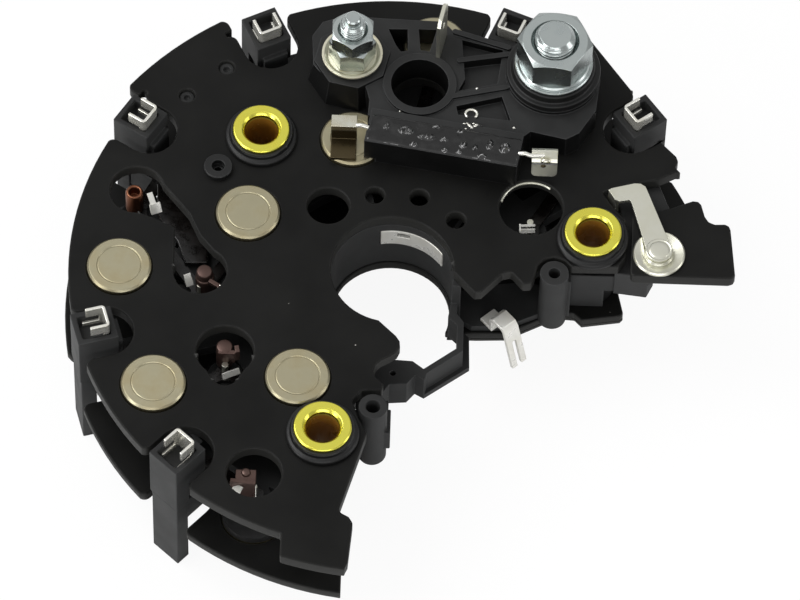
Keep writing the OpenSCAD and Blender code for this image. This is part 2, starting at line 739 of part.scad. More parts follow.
module phase_bar_3() {
  tail = polar(clip_r - 4.2, tower_angles[4]);
  tail2 = polar(clip_r - 4.2, tower_angles[5]);
  phase_bar([[tail, up_4, tail2, low_4], [up_4, low_3, up_3]], [low_3, low_4, up_3, up_4]);
}

// Terminal block

module block_2d() {
  polygon([[-17.4, 50.2], [-17, 43.4], [-14.2, 40], [-6.6, 39.2], [-5.6, 35.4], [-5.8, 31.8],
    [-1, 31], [24, 27], [26.4, 29.2], [33.4, 27.6], [36, 29.2], [39.2, 34.6], [40, 42], [38, 48.4],
    [31, 51.6], [21.6, 49], [10.4, 52.6], [8.6, 54.6], [-3, 54.9], [-11, 55.2], [-15.4, 53.6]]);
}

module in_trough() {
  translate([trough_pos[0], trough_pos[1], 0]) rotate(trough_angle) children();
}

module terminal_block() {
  color([0.11, 0.11, 0.12])
    difference() {
      union() {
        translate([0, 0, z_top]) linear_extrude(block_h - 0.6) block_2d();
        // faceted mound under the small stud
        translate([stud_s_pos[0], stud_s_pos[1], z_top])
          rotate(10) cylinder(r1 = 8.9, r2 = 7.6, h = block_h, $fn = 8);
        // raised land under the large stud
        translate([stud_l_pos[0], stud_l_pos[1], z_top]) cylinder(r = 9.3, h = block_h + 0.2);
        // ring round the lead window
        translate(concat(low_5, [z_top]))
          cylinder(r = window_r + window_ring_w, h = block_h - 0.6 + rib_rise);
        // capacitor trough
        in_trough()
          translate([-trough_l / 2 - trough_wall, -trough_w / 2 - trough_wall, z_top])
            cube([trough_l + 2 * trough_wall, trough_w + 2 * trough_wall + 1.2, block_h + 0.3]);
        // bars across the sunk panel
        translate([0, 0, z_top])
          linear_extrude(block_h - 0.6 + rib_rise) {
            strip_2d([12, 45.2], [21.6, 47], 1.1);
            strip_2d([10.6, 36.6], [21.4, 39.2], 1.1);
            strip_2d([11, 52], [21.6, 48.6], 1.1);
          }
      }
      // sunk panel between the window and the large stud
      translate([0, 0, z_block - 0.6 - panel_depth])
        linear_extrude(panel_depth + 2)
          difference() {
            polygon([[12.4, 50.4], [20.6, 48.2], [19.6, 40.2], [11.9, 38.2], [13.2, 41]]);
            strip_2d([12, 45.2], [21.6, 47], 1.1);
          }
      // second sunk panel in front of it
      translate([0, 0, z_block - 0.6 - panel_depth])
        linear_extrude(panel_depth + 2) polygon([[11.6, 34.6], [20.6, 37.2], [22.4, 31.6], [12, 32.6]]);
      // lead window and the two wedge windows behind it
      translate(concat(low_5, [z_top - 1])) cylinder(r = window_r, h = block_h + 5);
      translate([0, 0, z_top - 1])
        linear_extrude(block_h + 5) {
          polygon([[-2.3, 52.4], [1.5, 52.5], [1.7, 47.4], [0.3, 47.1], [-0.7, 48.6]]);
          polygon([[3.7, 52.6], [7.3, 52.6], [6.6, 49.6], [6, 47.4], [4.2, 47.6]]);
        }
      // trough
      in_trough()
        translate([-trough_l / 2, -trough_w / 2, z_block + 0.3 - trough_depth])
          cube([trough_l, trough_w, trough_depth + 1]);
      in_trough()
        translate([-trough_l / 2 - trough_wall - 1, -0.7, z_block + 0.3 - 1.8])
          cube([trough_l + 2 * trough_wall + 2, 1.4, 3]);
      // bores of both studs and the slot of the blade terminal
      translate([stud_l_pos[0], stud_l_pos[1], z_top - 1]) cylinder(d = stud_l_d + 2 * seat_gap, h = 20);
      translate([stud_s_pos[0], stud_s_pos[1], z_top - 1]) cylinder(d = stud_s_d + 2 * seat_gap, h = 20);
      translate([blade_pos[0], blade_pos[1], z_top + 1])
        rotate(-12) translate([-blade_t / 2 - seat_gap, -blade_w / 2 - seat_gap, 0])
          cube([blade_t + 2 * seat_gap, blade_w + 2 * seat_gap, 20]);
      // relief over the fifth and sixth upper diodes, which stand proud
      for (p = [up_5, up_6])
        translate([p[0], p[1], z_top - 1]) cylinder(r = cap_r + 0.3, h = 1 + cup_proud + 0.2);
      for (p = [small_1, small_2]) translate([p[0], p[1], z_top - 1]) cylinder(r = 1.9, h = 1.4);
    }
}

// Studs, nuts and washers

module hex_nut(af, h, bore) {
  difference() {
    intersection() {
      cylinder(d = af / cos(30), h = h, $fn = 6);
      // chamfered corners at both ends
      rotate_extrude($fn = 64)
        polygon([[0, 0], [af / 2 - 0.1, 0], [af / 2 / cos(30) + 0.05, af * 0.045],
          [af / 2 / cos(30) + 0.05, h - af * 0.045], [af / 2 - 0.1, h], [0, h]]);
    }
    translate([0, 0, -1]) cylinder(d = bore, h = h + 2);
    translate([0, 0, h - bore * 0.06]) cylinder(d1 = bore, d2 = bore * 1.14, h = bore * 0.07 + eps);
  }
}

module large_stud() {
  r = stud_l_d / 2;
  color([0.8, 0.8, 0.8])
    translate([stud_l_pos[0], stud_l_pos[1], 0])
      rotate_extrude($fn = 64)
        polygon([[0, z_up - 4.2], [7, z_up - 4.2], [7, z_up], [r, z_up], [r, z_top + stud_l_h - 0.9],
          [r - 0.8, z_top + stud_l_h], [0, z_top + stud_l_h]]);
}

module insulating_disc() {
  color([0.12, 0.12, 0.13])
    translate([stud_l_pos[0], stud_l_pos[1], z_block + 0.2])
      rotate_extrude($fn = 64)
        polygon([[stud_l_d / 2 + seat_gap, 0], [disc_d / 2 - 0.4, 0], [disc_d / 2, 0.5],
          [disc_d / 2, disc_h * 0.5], [disc_d / 2 - 1, disc_h * 0.5], [disc_d / 2 - 1.2, disc_h],
          [stud_l_d / 2 + seat_gap, disc_h]]);
}

module large_washer() {
  color([0.82, 0.82, 0.82])
    translate([stud_l_pos[0], stud_l_pos[1], z_block + 0.2 + disc_h])
      rotate_extrude($fn = 64)
        polygon([[stud_l_d / 2 + seat_gap, 0], [washer_l_d / 2, 0], [washer_l_d / 2, washer_l_t - 0.3],
          [washer_l_d / 2 - 0.3, washer_l_t], [stud_l_d / 2 + seat_gap, washer_l_t]]);
}

module large_nut() {
  color([0.82, 0.82, 0.82])
    translate([stud_l_pos[0], stud_l_pos[1], z_block + 0.2 + disc_h + washer_l_t])
      rotate(-4) hex_nut(nut_l_af, nut_l_h, stud_l_d + 2 * seat_gap);
}

module small_stud() {
  r = stud_s_d / 2;
  color([0.8, 0.8, 0.8])
    translate([stud_s_pos[0], stud_s_pos[1], 0])
      rotate_extrude($fn = 64)
        polygon([[0, z_top + 0.1], [r, z_top + 0.1], [r, z_top + stud_s_h - 2],
          [r - 0.9, z_top + stud_s_h - 1.4],
          [r - 0.9, z_top + stud_s_h - 0.2], [r - 1.1, z_top + stud_s_h], [0, z_top + stud_s_h]]);
}

module dished_washer() {
  color([0.84, 0.82, 0.74])
    translate([stud_s_pos[0], stud_s_pos[1], z_block])
      rotate_extrude($fn = 64)
        polygon([[stud_s_d / 2 + seat_gap, 0], [stud_s_d / 2 + 2.2, 0], [dish_d / 2, dish_h - 0.5],
          [dish_d / 2, dish_h], [dish_d / 2 - 0.5, dish_h], [stud_s_d / 2 + 2.3, dish_floor],
          [stud_s_d / 2 + seat_gap, dish_floor]]);
}

// lower nut that clamps the dished washer
module lower_nut() {
  color([0.82, 0.82, 0.82])
    translate([stud_s_pos[0], stud_s_pos[1], z_block + dish_floor])
      hex_nut(nut_s_af, nut_low_h, stud_s_d + 2 * seat_gap);
}

module small_nut() {
  color([0.82, 0.82, 0.82])
    translate([stud_s_pos[0], stud_s_pos[1], z_block + dish_floor + nut_low_h])
      rotate(30) hex_nut(nut_s_af, nut_s_h, stud_s_d + 2 * seat_gap);
}

// Blade, capacitor and tabs

module blade_terminal() {
  color([0.86, 0.86, 0.84])
    translate([blade_pos[0], blade_pos[1], z_top + 1])
      rotate(-12)
        rotate([90, 0, 90])
          translate([0, 0, -blade_t / 2])
            linear_extrude(blade_t)
              difference() {
                polygon([[-blade_w / 2, 0], [blade_w / 2, 0], [blade_w / 2, block_h + blade_h - 2.4],
                  [blade_w / 2 - 1.2, block_h + blade_h - 1], [-blade_w / 2 + 1.2, block_h + blade_h - 1],
                  [-blade_w / 2, block_h + blade_h - 2.4]]);
                translate([0, block_h + blade_h - 5.2]) circle(d = 1.6);
              }
}

// potted body in the trough with its two leads
module capacitor() {
  body_h = trough_depth - 0.7;
  color([0.08, 0.08, 0.09])
    in_trough() {
      translate([-trough_l / 2 + seat_gap, -trough_w / 2 + seat_gap, z_block + 0.3 - trough_depth])
        cube([trough_l - 2 * seat_gap, trough_w - 2 * seat_gap, body_h]);
      for (s = [-1, 1])
        translate([s * (trough_l / 2 - 0.4), 0, z_block - 0.9])
          rotate([0, s * 90, 0]) cylinder(d = cap_lead_d, h = 3.3);
    }
}

// bent strip that stands on the fifth upper diode, with a flap on top
module capacitor_tab_1() {
  color([0.88, 0.87, 0.82])
    translate([-10.4, 28.9, z_top + cup_proud])
      rotate([90, 0, 90])
        translate([0, 0, -tab_w / 2])
          linear_extrude(tab_w)
            polygon([[-4.6, 0], [strap_t, 0], [strap_t, block_h - 1.5 - strap_t],
              [tab_flap, block_h - 1.5 - strap_t], [tab_flap, block_h - 1.5], [0, block_h - 1.5], [0, strap_t], [-4.6, strap_t]]);
}

// leaning strip with a folded channel for the other capacitor lead
module capacitor_tab_2() {
  fold = 0.9;
  color([0.88, 0.87, 0.82])
    difference() {
      translate([29.3, 21.6, z_top - 0.4])
        rotate([-tab_lean, 0, 0])
          linear_extrude(block_h + 1)
            polygon([[-tab_w / 2, 0], [-fold, 0], [0, fold], [fold, 0], [tab_w / 2, 0], [tab_w / 2, strap_t],
              [fold + 0.3, strap_t], [0, fold + strap_t + 0.3], [-fold - 0.3, strap_t],
              [-tab_w / 2, strap_t]]);
      translate([20, 15, z_top - 3]) cube([20, 15, 3]);
    }
}

// Auxiliary diode, strap and contacts

module auxiliary_diode() {
  color([0.84, 0.84, 0.8])
    translate([aux_pos[0], aux_pos[1], z_top])
      rotate_extrude($fn = 64)
        polygon([[0, -upper_t], [2, -upper_t], [2, 0], [aux_disc_d / 2 - 0.2, 0], [aux_disc_d / 2, 0.2],
          [aux_disc_d / 2, aux_disc_h - 0.3], [aux_disc_d / 2 - 0.3, aux_disc_h], [2.9, aux_disc_h - 0.45],
          [2.6, aux_disc_h], [0, aux_disc_h]]);
}

module link_strap() {
  color([0.86, 0.86, 0.84]) {
    translate([0, 0, z_top + aux_disc_h])
      linear_extrude(strap_t) {
        polygon([[42.1, 18.9], [43, 19.4], [47.2, 20.6], [48.4, 20.6], [49.4, 19.9], [49.9, 18.6],
          [54.5, 6.2], [49.9, 4.6], [46.6, 16.4], [46.2, 16.7], [44.2, 16.3], [43.37, 16.76]]);
        translate(aux_pos) circle(r = 2.4);
      }
    // end turned down through the cut-out of the heat sink
    translate([42.1, 18.9, z_up - 1.5])
      rotate(-55.5) cube([2.6, strap_t, z_top + aux_disc_h + strap_t - z_up + 1.5]);
  }
}

module collar_contact() {
  color([0.84, 0.84, 0.8])
    difference() {
      union() {
        translate([0, 0, z_top - 9.6]) ring_piece(shaft_r - 0.2, shaft_r + 0.6, 4.6, 35, 102);
        translate([0, 0, z_top - 6]) ring_piece(shaft_r - 0.2, shaft_r + 0.6, 1, 35, 102);
      }
      rotate(80) translate([shaft_r + 0.2, 0, z_top - 6.4]) cube([3, 2.6, 1.2], center = true);
    }
}

// forked strip that rises from the floor flange, bridges outward and turns down
module fork_terminal() {
  root_z = z_low_top + 1.6;
  top_z = 4.6;
  drop = 10.4;
  slot_w = 1;
  color([0.86, 0.86, 0.84])
    translate([20.9, -3, 0])
      rotate(-48)
        difference() {
          translate([0, 0, root_z])
            rotate([90, 0, 0])
              translate([0, 0, -fork_w / 2])
                linear_extrude(fork_w)
                  polygon([[-2.8, 0], [0.6, 0], [0.6, top_z - 1.2], [1.1, top_z - strap_t],
                    [3.2, top_z - strap_t],
                    [3.7, top_z - 1.4], [6.6, top_z - drop], [7.4, top_z - drop + 0.2], [4.4, top_z - 1],
                    [3.5, top_z], [0.7, top_z], [-0.2, top_z - 0.9], [-0.2, strap_t], [-2.8, strap_t]]);
          // slot from the end of the leg up to its round top
          translate([3, -slot_w / 2, root_z + top_z - drop - 1]) cube([6, slot_w, drop - 3.4]);
          translate([3, 0, root_z + top_z - 4.4]) rotate([0, 90, 0]) cylinder(d = slot_w, h = 6);
        }
}

// flanged pin pressed through the upper heat sink
module locating_pin() {
  color([0.12, 0.12, 0.13])
    translate([pin_pos[0], pin_pos[1], z_up - 1])
      difference() {
        union() {
          cylinder(d = 2.4, h = upper_t + 1.6);
          translate([0, 0, upper_t + 1]) cylinder(d = 5.7, h = 1.2);
        }
        translate([0, 0, 1]) cylinder(d = 1.5, h = 8);
      }
}

// two staked rivets on the raised lobe
module heat_sink_stakes() {
  color([0.13, 0.13, 0.14])
    for (p = [stake_1, stake_2])
      translate([p[0], p[1], z_up])
        difference() {
          cylinder(d = 3, h = upper_t - 0.7);
          translate([0, 0, upper_t - 1.5]) cylinder(d = 1.2, h = 2);
        }
}

upper_heat_sink();
lower_heat_sink();
backing_sheet();
auxiliary_heat_sink();
terminal_frame();
shaft_collar();
frame_boss();
end_carrier();
lead_tower_1();
lead_tower_2();
lead_tower_3();
lead_tower_4();
lead_tower_5();
lead_tower_6();
upper_diode_1();
upper_diode_2();
upper_diode_3();
upper_diode_4();
upper_diode_5();
upper_diode_6();
lower_diode_1();
lower_diode_2();
lower_diode_3();
lower_diode_4();
lower_diode_5();
lower_diode_6();
bushing_1();
bushing_2();
bushing_3();
insulator_1();
insulator_2();
insulator_3();
lead_clip_1();
lead_clip_2();
lead_clip_3();
lead_clip_4();
lead_clip_5();
lead_clip_6();
phase_bar_1();
phase_bar_2();
phase_bar_3();
terminal_block();
large_stud();
large_nut();
large_washer();
insulating_disc();
small_stud();
small_nut();
lower_nut();
dished_washer();
blade_terminal();
capacitor();
capacitor_tab_1();
capacitor_tab_2();
link_strap();
auxiliary_diode();
collar_contact();
fork_terminal();
locating_pin();
heat_sink_stakes();
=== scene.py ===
import math
from collections import namedtuple

import bmesh
import bpy
from bpy.props import FloatProperty, FloatVectorProperty, IntProperty, PointerProperty
from mathutils import Matrix, Vector, noise


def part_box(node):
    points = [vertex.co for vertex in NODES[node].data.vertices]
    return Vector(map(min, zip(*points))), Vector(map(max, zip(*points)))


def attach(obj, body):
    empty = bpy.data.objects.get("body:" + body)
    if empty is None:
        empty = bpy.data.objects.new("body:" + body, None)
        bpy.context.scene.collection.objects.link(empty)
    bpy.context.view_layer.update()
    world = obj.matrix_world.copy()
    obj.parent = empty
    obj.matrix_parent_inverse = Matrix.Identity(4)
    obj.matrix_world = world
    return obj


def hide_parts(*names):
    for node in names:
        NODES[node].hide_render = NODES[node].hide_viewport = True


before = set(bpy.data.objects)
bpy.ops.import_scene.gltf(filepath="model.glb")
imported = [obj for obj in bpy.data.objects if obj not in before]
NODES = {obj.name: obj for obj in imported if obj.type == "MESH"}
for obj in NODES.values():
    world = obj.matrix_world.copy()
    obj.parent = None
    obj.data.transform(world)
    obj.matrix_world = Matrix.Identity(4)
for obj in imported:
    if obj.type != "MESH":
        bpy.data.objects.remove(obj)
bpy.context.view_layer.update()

bl_info = {
    "name": "Alternator rectifier",
    "version": (1, 0, 0),
    "blender": (4, 5, 0),
    "location": "3D View > Sidebar > Rectifier",
    "description": "Dresses the rectifier's solids and adds threads, resin, leads and joints",
    "category": "Object",
}

MM = 0.001
TOWERS = [f"lead_tower_{i}" for i in range(1, 7)]

# Camera of the photograph, with angles in degrees, lens and sensor in mm
VIEW_ELEVATION = 58.387
VIEW_ROLL = 1.881
VIEW_TARGET = (1.743 * MM, -7.121 * MM)
VIEW_DISTANCE = 1.3347
VIEW_LENS = 307.64
VIEW_SENSOR = 36.0

# Grey of the studio as (height, level), from straight down to straight up
STUDIO_GREYS = ((0.0, 0.45), (0.2, 0.42), (0.45, 0.38), (0.62, 0.52), (0.8, 0.68), (1.0, 0.74))

# Softboxes as (name, place, width, height, watts), all aimed at the middle of the rectifier
LAMP_TARGET = Vector((0, 0, 0.02))
LAMPS = (
    ("top softbox", (-0.55, 0.15, 0.8), 0.6, 0.6, 4.5),
    ("left softbox", (-0.8, -0.45, 0.3), 0.3, 0.7, 3.0),
    ("right softbox", (0.9, -0.1, 0.32), 0.3, 0.7, 1.5),
    ("front softbox", (0.0, -0.95, 0.52), 1.0, 0.3, 3.0),
)

# Towers stand in three pairs round the shaft, at these angles in degrees
FIRST_TOWER = 36.5
TOWER_STEP = 31.5
PAIR_STEP = 80.0
# Skirt between the heat sinks behind each tower, in mm: radius of its middle, depth and width
SKIRT_RADIUS = 57.6
SKIRT_DEPTH = 5.6
SKIRT_WIDTH = 6.2

# What stands over each lower diode: x and y in mm from its axis, heights in mm above the feet,
# turns and tilts in degrees. A barrel without a bore is a solid pin.
Barrel = namedtuple("Barrel", "x y top radius bore")
Sheet = namedtuple("Sheet", "x y height width depth length turn tilt")
Joint = namedtuple("Joint", "barrels straps tinned")
JOINTS = {
    1: Joint(
        [Barrel(-0.6, 0.9, 30.3, 1.75, 0.95)],
        [],
        [Sheet(2.9, 0.1, 28.6, 1.2, 3.0, 0.4, 26, 34), Sheet(3.7, -1.2, 27.6, 2.3, 2.2, 0.4, 22, 50)]),
    2: Joint(
        [Barrel(0.8, 1.2, 30.4, 1.6, 0.0), Barrel(0.9, 1.1, 28.6, 1.9, 0.0)],
        [Sheet(2.9, -1.3, 29.6, 2.6, 0.9, 0.9, -32, 0)],
        [Sheet(-2.3, 0.2, 28.4, 1.5, 2.6, 0.4, 25, 48), Sheet(4.0, -2.0, 29.6, 0.7, 0.8, 0.8, -32, 20)]),
    3: Joint(
        [Barrel(-0.2, 2.2, 30.5, 1.65, 0.0)],
        [Sheet(0.3, 1.0, 28.6, 3.4, 0.9, 3.4, 0, 0), Sheet(2.3, 1.5, 29.2, 0.9, 1.6, 3.2, 12, 0)],
        [Sheet(1.2, -1.3, 25.9, 3.6, 1.3, 0.4, 25, 48)]),
    4: Joint(
        [Barrel(-1.6, 1.3, 30.5, 0.95, 0.0)],
        [Sheet(-1.6, 0.9, 29.2, 4.0, 2.4, 1.4, 0, 0), Sheet(-2.1, -0.6, 26.8, 5.0, 0.9, 6.6, -4, 0)],
        [Sheet(-3.2, -1.4, 28.2, 1.9, 2.0, 0.4, -35, 48), Sheet(0.4, -1.2, 26.6, 0.2, 0.4, 5.6, 0, 0)]),
    5: Joint(
        [],
        [],
        [Sheet(0.7, -0.5, 28.6, 3.2, 1.1, 0.5, 4, 45)]),
    6: Joint(
        [],
        [],
        [Sheet(-0.6, -2.2, 27.2, 3.2, 0.9, 0.4, 4, 48), Sheet(-0.6, -1.4, 27.9, 3.2, 0.5, 0.4, 4, 40),
         Sheet(-2.0, -1.8, 27.6, 0.4, 1.6, 0.6, 4, 30)]),
}
BARREL_FOOT = 24.2
BARREL_DEPTH = 2.2

# Dark strap of the phase conductor in the long opening, in mm
STRAP_OUTLINE = (
    (-47.2, 22.8), (-41.0, 22.8), (-36.6, 9.6), (-36.4, 4.6), (-40.8, 4.4), (-42.6, 9.4), (-46.8, 15.4))
STRAP_LOW = 24.3
STRAP_HIGH = 25.1

# Painted reflection: a bright tinned wire laid on the wall of the window over the fifth lower diode, where
# that wall reflects the front light: mm and degrees
REFLECTION_CENTRE = Vector((26.95, 15.31, 31.85))
REFLECTION_RADIUS = 6.1
REFLECTION_WIRE = 0.3
REFLECTION_ANGLES = range(52, 171, 6)

# Potting of the trough in mm: along U, across V, turned by the angle of the trough in degrees
TROUGH_TURN = -9.4
POTTING_LENGTH = 30.2
POTTING_WIDTH = 6.3
POTTING_RISE = 0.42
POTTING_COLUMNS = 170
POTTING_ROWS = 30
Lump = namedtuple("Lump", "u v half_length half_width height")
LUMPS = (
    Lump(-7.6, 0.5, 1.5, 0.9, 0.75), Lump(-3.3, -0.2, 1.8, 0.8, 0.4), Lump(0.2, -0.1, 0.8, 0.5, 0.55),
    Lump(4.1, -0.6, 0.7, 0.7, 0.6), Lump(6.4, -0.7, 0.5, 0.5, 0.45), Lump(9.2, 0.5, 0.6, 1.1, 0.7),
    Lump(12.2, 0.3, 1.0, 1.2, 0.75), Lump(-11.6, 0.8, 0.5, 0.8, 0.6), Lump(-5.5, -2.4, 0.7, 0.35, 0.5),
    Lump(0.7, -2.5, 0.5, 0.35, 0.45), Lump(3.6, -2.4, 0.5, 0.3, 0.5), Lump(8.2, -2.5, 0.8, 0.4, 0.55),
    Lump(-2.0, 2.4, 0.7, 0.3, 0.5), Lump(2.9, 2.3, 0.6, 0.3, 0.45),
)

# Wire eye and solder specks on the terminal block, in mm
EYE_CENTRE = (14.6, 32.6)
EYE_RADII = (1.15, 1.0)
EYE_WIRE = 0.26
EYE_ANGLES = range(-48, 232, 11)
SPECKS = ((15.6, 38.8, 0.36), (23.1, 29.9, 0.3), (0.5, 32.9, 0.24), (7.0, 30.4, 0.3))
SMALL_DROPS = 9
CRUMBS = 16

# Second capacitor tab: its middle line in Y and Z, where it stands in X, its width and sheet, in mm
TAB_LINE = (
    (21.95, 34.0), (22.4, 35.4), (22.9, 36.9), (22.75, 37.5), (23.3, 38.0), (23.75, 38.9), (24.2, 39.9))
TAB_X = 29.3
TAB_WIDTH = 5.1
TAB_SHEET = 0.7
TAB_CORNER = 1.0
# Solder on that tab as (x, y, z, radius)
TAB_SOLDER = ((29.5, 22.6, 38.1, 0.95), (29.1, 22.4, 36.6, 0.5))


def in_mm(corners):
    """Low and high corner of a box in millimetres."""
    low, high = corners
    return low / MM, high / MM


def axis_of(name, z=0.0):
    """Point on the upright axis of a solid, in millimetres."""
    low, high = in_mm(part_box(name))
    return Vector(((low.x + high.x) / 2, (low.y + high.y) / 2, z))


def polar(radius, degrees, z=0.0):
    """Point at a radius and an angle round the shaft."""
    a = math.radians(degrees)
    return Vector((radius * math.cos(a), radius * math.sin(a), z))


# Settings


class RectifierSizes(bpy.types.PropertyGroup):
    """Sizes of the rectifier that the panel can change"""
    sheet_edge: FloatProperty(
        name="Heat sink edge", description="Rounding of the stamped heat sink edges",
        default=0.00032, min=0.00005, max=0.0006, precision=5, subtype="DISTANCE", unit="LENGTH")
    moulded_edge: FloatProperty(
        name="Moulded edge", description="Rounding of the moulded plastic edges",
        default=0.00022, min=0.00005, max=0.0005, precision=5, subtype="DISTANCE", unit="LENGTH")
    metal_edge: FloatProperty(
        name="Small metal edge", description="Rounding of the edges of the small metal parts",
        default=0.00012, min=0.00002, max=0.0003, precision=5, subtype="DISTANCE", unit="LENGTH")
    large_pitch: FloatProperty(
        name="Large thread pitch", description="Pitch of the thread of the large stud",
        default=0.00125, min=0.0008, max=0.002, precision=5, subtype="DISTANCE", unit="LENGTH")
    small_pitch: FloatProperty(
        name="Small thread pitch", description="Pitch of the thread of the small stud",
        default=0.0008, min=0.0005, max=0.0012, precision=5, subtype="DISTANCE", unit="LENGTH")
    lead_wire: FloatProperty(
        name="Lead wire", description="Diameter of the diode leads",
        default=0.0013, min=0.0008, max=0.002, precision=5, subtype="DISTANCE", unit="LENGTH")
    resin_lumps: IntProperty(
        name="Resin lumps", description="How many lumps the potted surface has",
        default=14, min=3, max=14)


class RectifierColours(bpy.types.PropertyGroup):
    """Colours of the rectifier that the panel can change"""
    coating: FloatVectorProperty(
        name="Black coating", description="Coating of the heat sinks",
        default=(0.0062, 0.0062, 0.0058), size=3, min=0, max=1, subtype="COLOR")
    plastic: FloatVectorProperty(
        name="Frame plastic", description="Moulded frame and terminal block",
        default=(0.0165, 0.0168, 0.0168), size=3, min=0, max=1, subtype="COLOR")
    nickel: FloatVectorProperty(
        name="Diode plating", description="Warm nickel plating of the diode faces",
        default=(0.43, 0.395, 0.27), size=3, min=0, max=1, subtype="COLOR")
    bushing: FloatVectorProperty(
        name="Bushing plating", description="Yellow passivated zinc of the bushings",
        default=(0.84, 0.79, 0.115), size=3, min=0, max=1, subtype="COLOR")
    zinc: FloatVectorProperty(
        name="Zinc plating", description="Bright zinc of nuts, studs and washers",
        default=(0.50, 0.545, 0.535), size=3, min=0, max=1, subtype="COLOR")
    tin: FloatVectorProperty(
        name="Tinned sheet", description="Tinned sheet of clips, tabs and straps",
        default=(0.72, 0.715, 0.62), size=3, min=0, max=1, subtype="COLOR")
    copper: FloatVectorProperty(
        name="Copper", description="Dull copper of the conductors",
        default=(0.24, 0.105, 0.06), size=3, min=0, max=1, subtype="COLOR")
    resin: FloatVectorProperty(
        name="Potting resin", description="Black resin in the trough",
        default=(0.008, 0.008, 0.008), size=3, min=0, max=1, subtype="COLOR")


# Node groups


def new_group(name, inputs, outputs):
    """An empty node group with its inputs, their defaults and its outputs."""
    tree = bpy.data.node_groups.new(name, "ShaderNodeTree")
    for label, kind, value in inputs:
        socket = tree.interface.new_socket(name=label, in_out="INPUT", socket_type=kind)
        socket.default_value = value
    for label, kind in outputs:
        tree.interface.new_socket(name=label, in_out="OUTPUT", socket_type=kind)
    ins = tree.nodes.new("NodeGroupInput")
    outs = tree.nodes.new("NodeGroupOutput")
    return tree, ins, outs


def node(tree, kind, **values):
    n = tree.nodes.new(kind)
    for key, value in values.items():
        setattr(n, key, value)
    return n


def link(tree, a, b):
    tree.links.new(a, b)


def math_node(tree, operation, a, b, clamp=False):
    """Result of one calculation on two sockets or numbers."""
    n = node(tree, "ShaderNodeMath", operation=operation, use_clamp=clamp)
    for i, v in enumerate((a, b)):
        if isinstance(v, (int, float)):
            n.inputs[i].default_value = v
        else:
            link(tree, v, n.inputs[i])
    return n.outputs[0]


def span(tree, value, low, high, to_low=0.0, to_high=1.0):
    """A value between low and high spread from to_low to to_high, and held there beyond them."""
    n = node(tree, "ShaderNodeMapRange")
    link(tree, value, n.inputs["Value"])
    n.inputs["From Min"].default_value = low
    n.inputs["From Max"].default_value = high
    n.inputs["To Min"].default_value = to_low
    n.inputs["To Max"].default_value = to_high
    return n.outputs["Result"]


def edge_wear_group():
    """Mask of convex edges, broken up by a noise."""
    tree, ins, outs = new_group(
        "edge wear",
        [("Width", "NodeSocketFloat", 0.0004), ("Scale", "NodeSocketFloat", 400.0)],
        [("Mask", "NodeSocketFloat")])
    bevel = node(tree, "ShaderNodeBevel", samples=6)
    link(tree, ins.outputs["Width"], bevel.inputs["Radius"])
    geo = node(tree, "ShaderNodeNewGeometry")
    dot = node(tree, "ShaderNodeVectorMath", operation="DOT_PRODUCT")
    link(tree, bevel.outputs[0], dot.inputs[0])
    link(tree, geo.outputs["Normal"], dot.inputs[1])
    edge = span(tree, dot.outputs["Value"], 0.985, 0.86)
    coord = node(tree, "ShaderNodeTexCoord")
    cloud = node(tree, "ShaderNodeTexNoise")
    cloud.inputs["Detail"].default_value = 3.0
    link(tree, coord.outputs["Object"], cloud.inputs["Vector"])
    link(tree, ins.outputs["Scale"], cloud.inputs["Scale"])
    patchy = span(tree, cloud.outputs["Fac"], 0.3, 0.62, 0.35, 1.0)
    link(tree, math_node(tree, "MULTIPLY", edge, patchy, True), outs.inputs["Mask"])
    return tree


def grain_group():
    """Fine surface height with a slow variation."""
    tree, ins, outs = new_group(
        "surface grain",
        [("Fine", "NodeSocketFloat", 4000.0), ("Coarse", "NodeSocketFloat", 300.0)],
        [("Height", "NodeSocketFloat"), ("Clouds", "NodeSocketFloat")])
    coord = node(tree, "ShaderNodeTexCoord")
    fine = node(tree, "ShaderNodeTexNoise")
    fine.inputs["Detail"].default_value = 2.0
    slow = node(tree, "ShaderNodeTexNoise")
    slow.inputs["Detail"].default_value = 4.0
    link(tree, coord.outputs["Object"], fine.inputs["Vector"])
    link(tree, coord.outputs["Object"], slow.inputs["Vector"])
    link(tree, ins.outputs["Fine"], fine.inputs["Scale"])
    link(tree, ins.outputs["Coarse"], slow.inputs["Scale"])
    link(tree, fine.outputs["Fac"], outs.inputs["Height"])
    link(tree, slow.outputs["Fac"], outs.inputs["Clouds"])
    return tree


def dust_group():
    """Mask of a few tiny pale specks."""
    tree, ins, outs = new_group(
        "dust specks",
        [("Scale", "NodeSocketFloat", 500.0), ("Size", "NodeSocketFloat", 0.06),
         ("Amount", "NodeSocketFloat", 0.03)],
        [("Mask", "NodeSocketFloat")])
    coord = node(tree, "ShaderNodeTexCoord")
    cells = node(tree, "ShaderNodeTexVoronoi")
    link(tree, coord.outputs["Object"], cells.inputs["Vector"])
    link(tree, ins.outputs["Scale"], cells.inputs["Scale"])
    near = math_node(tree, "LESS_THAN", cells.outputs["Distance"], ins.outputs["Size"])
    split = node(tree, "ShaderNodeSeparateColor")
    link(tree, cells.outputs["Color"], split.inputs[0])
    few = math_node(tree, "LESS_THAN", split.outputs[0], ins.outputs["Amount"])
    link(tree, math_node(tree, "MULTIPLY", near, few, True), outs.inputs["Mask"])
    return tree


GROUPS = {}


def use_group(tree, name, **values):
    """One of the three shared groups in a material, with its own values."""
    if name not in GROUPS:
        makers = {"edge": edge_wear_group, "grain": grain_group, "dust": dust_group}
        GROUPS[name] = makers[name]()
    g = node(tree, "ShaderNodeGroup")
    g.node_tree = GROUPS[name]
    for key, value in values.items():
        g.inputs[key].default_value = value
    return g


# Materials


def start_material(name):
    """A new material with its node tree and its shader."""
    m = bpy.data.materials.new(name)
    m.use_nodes = True
    tree = m.node_tree
    return m, tree, tree.nodes["Principled BSDF"]


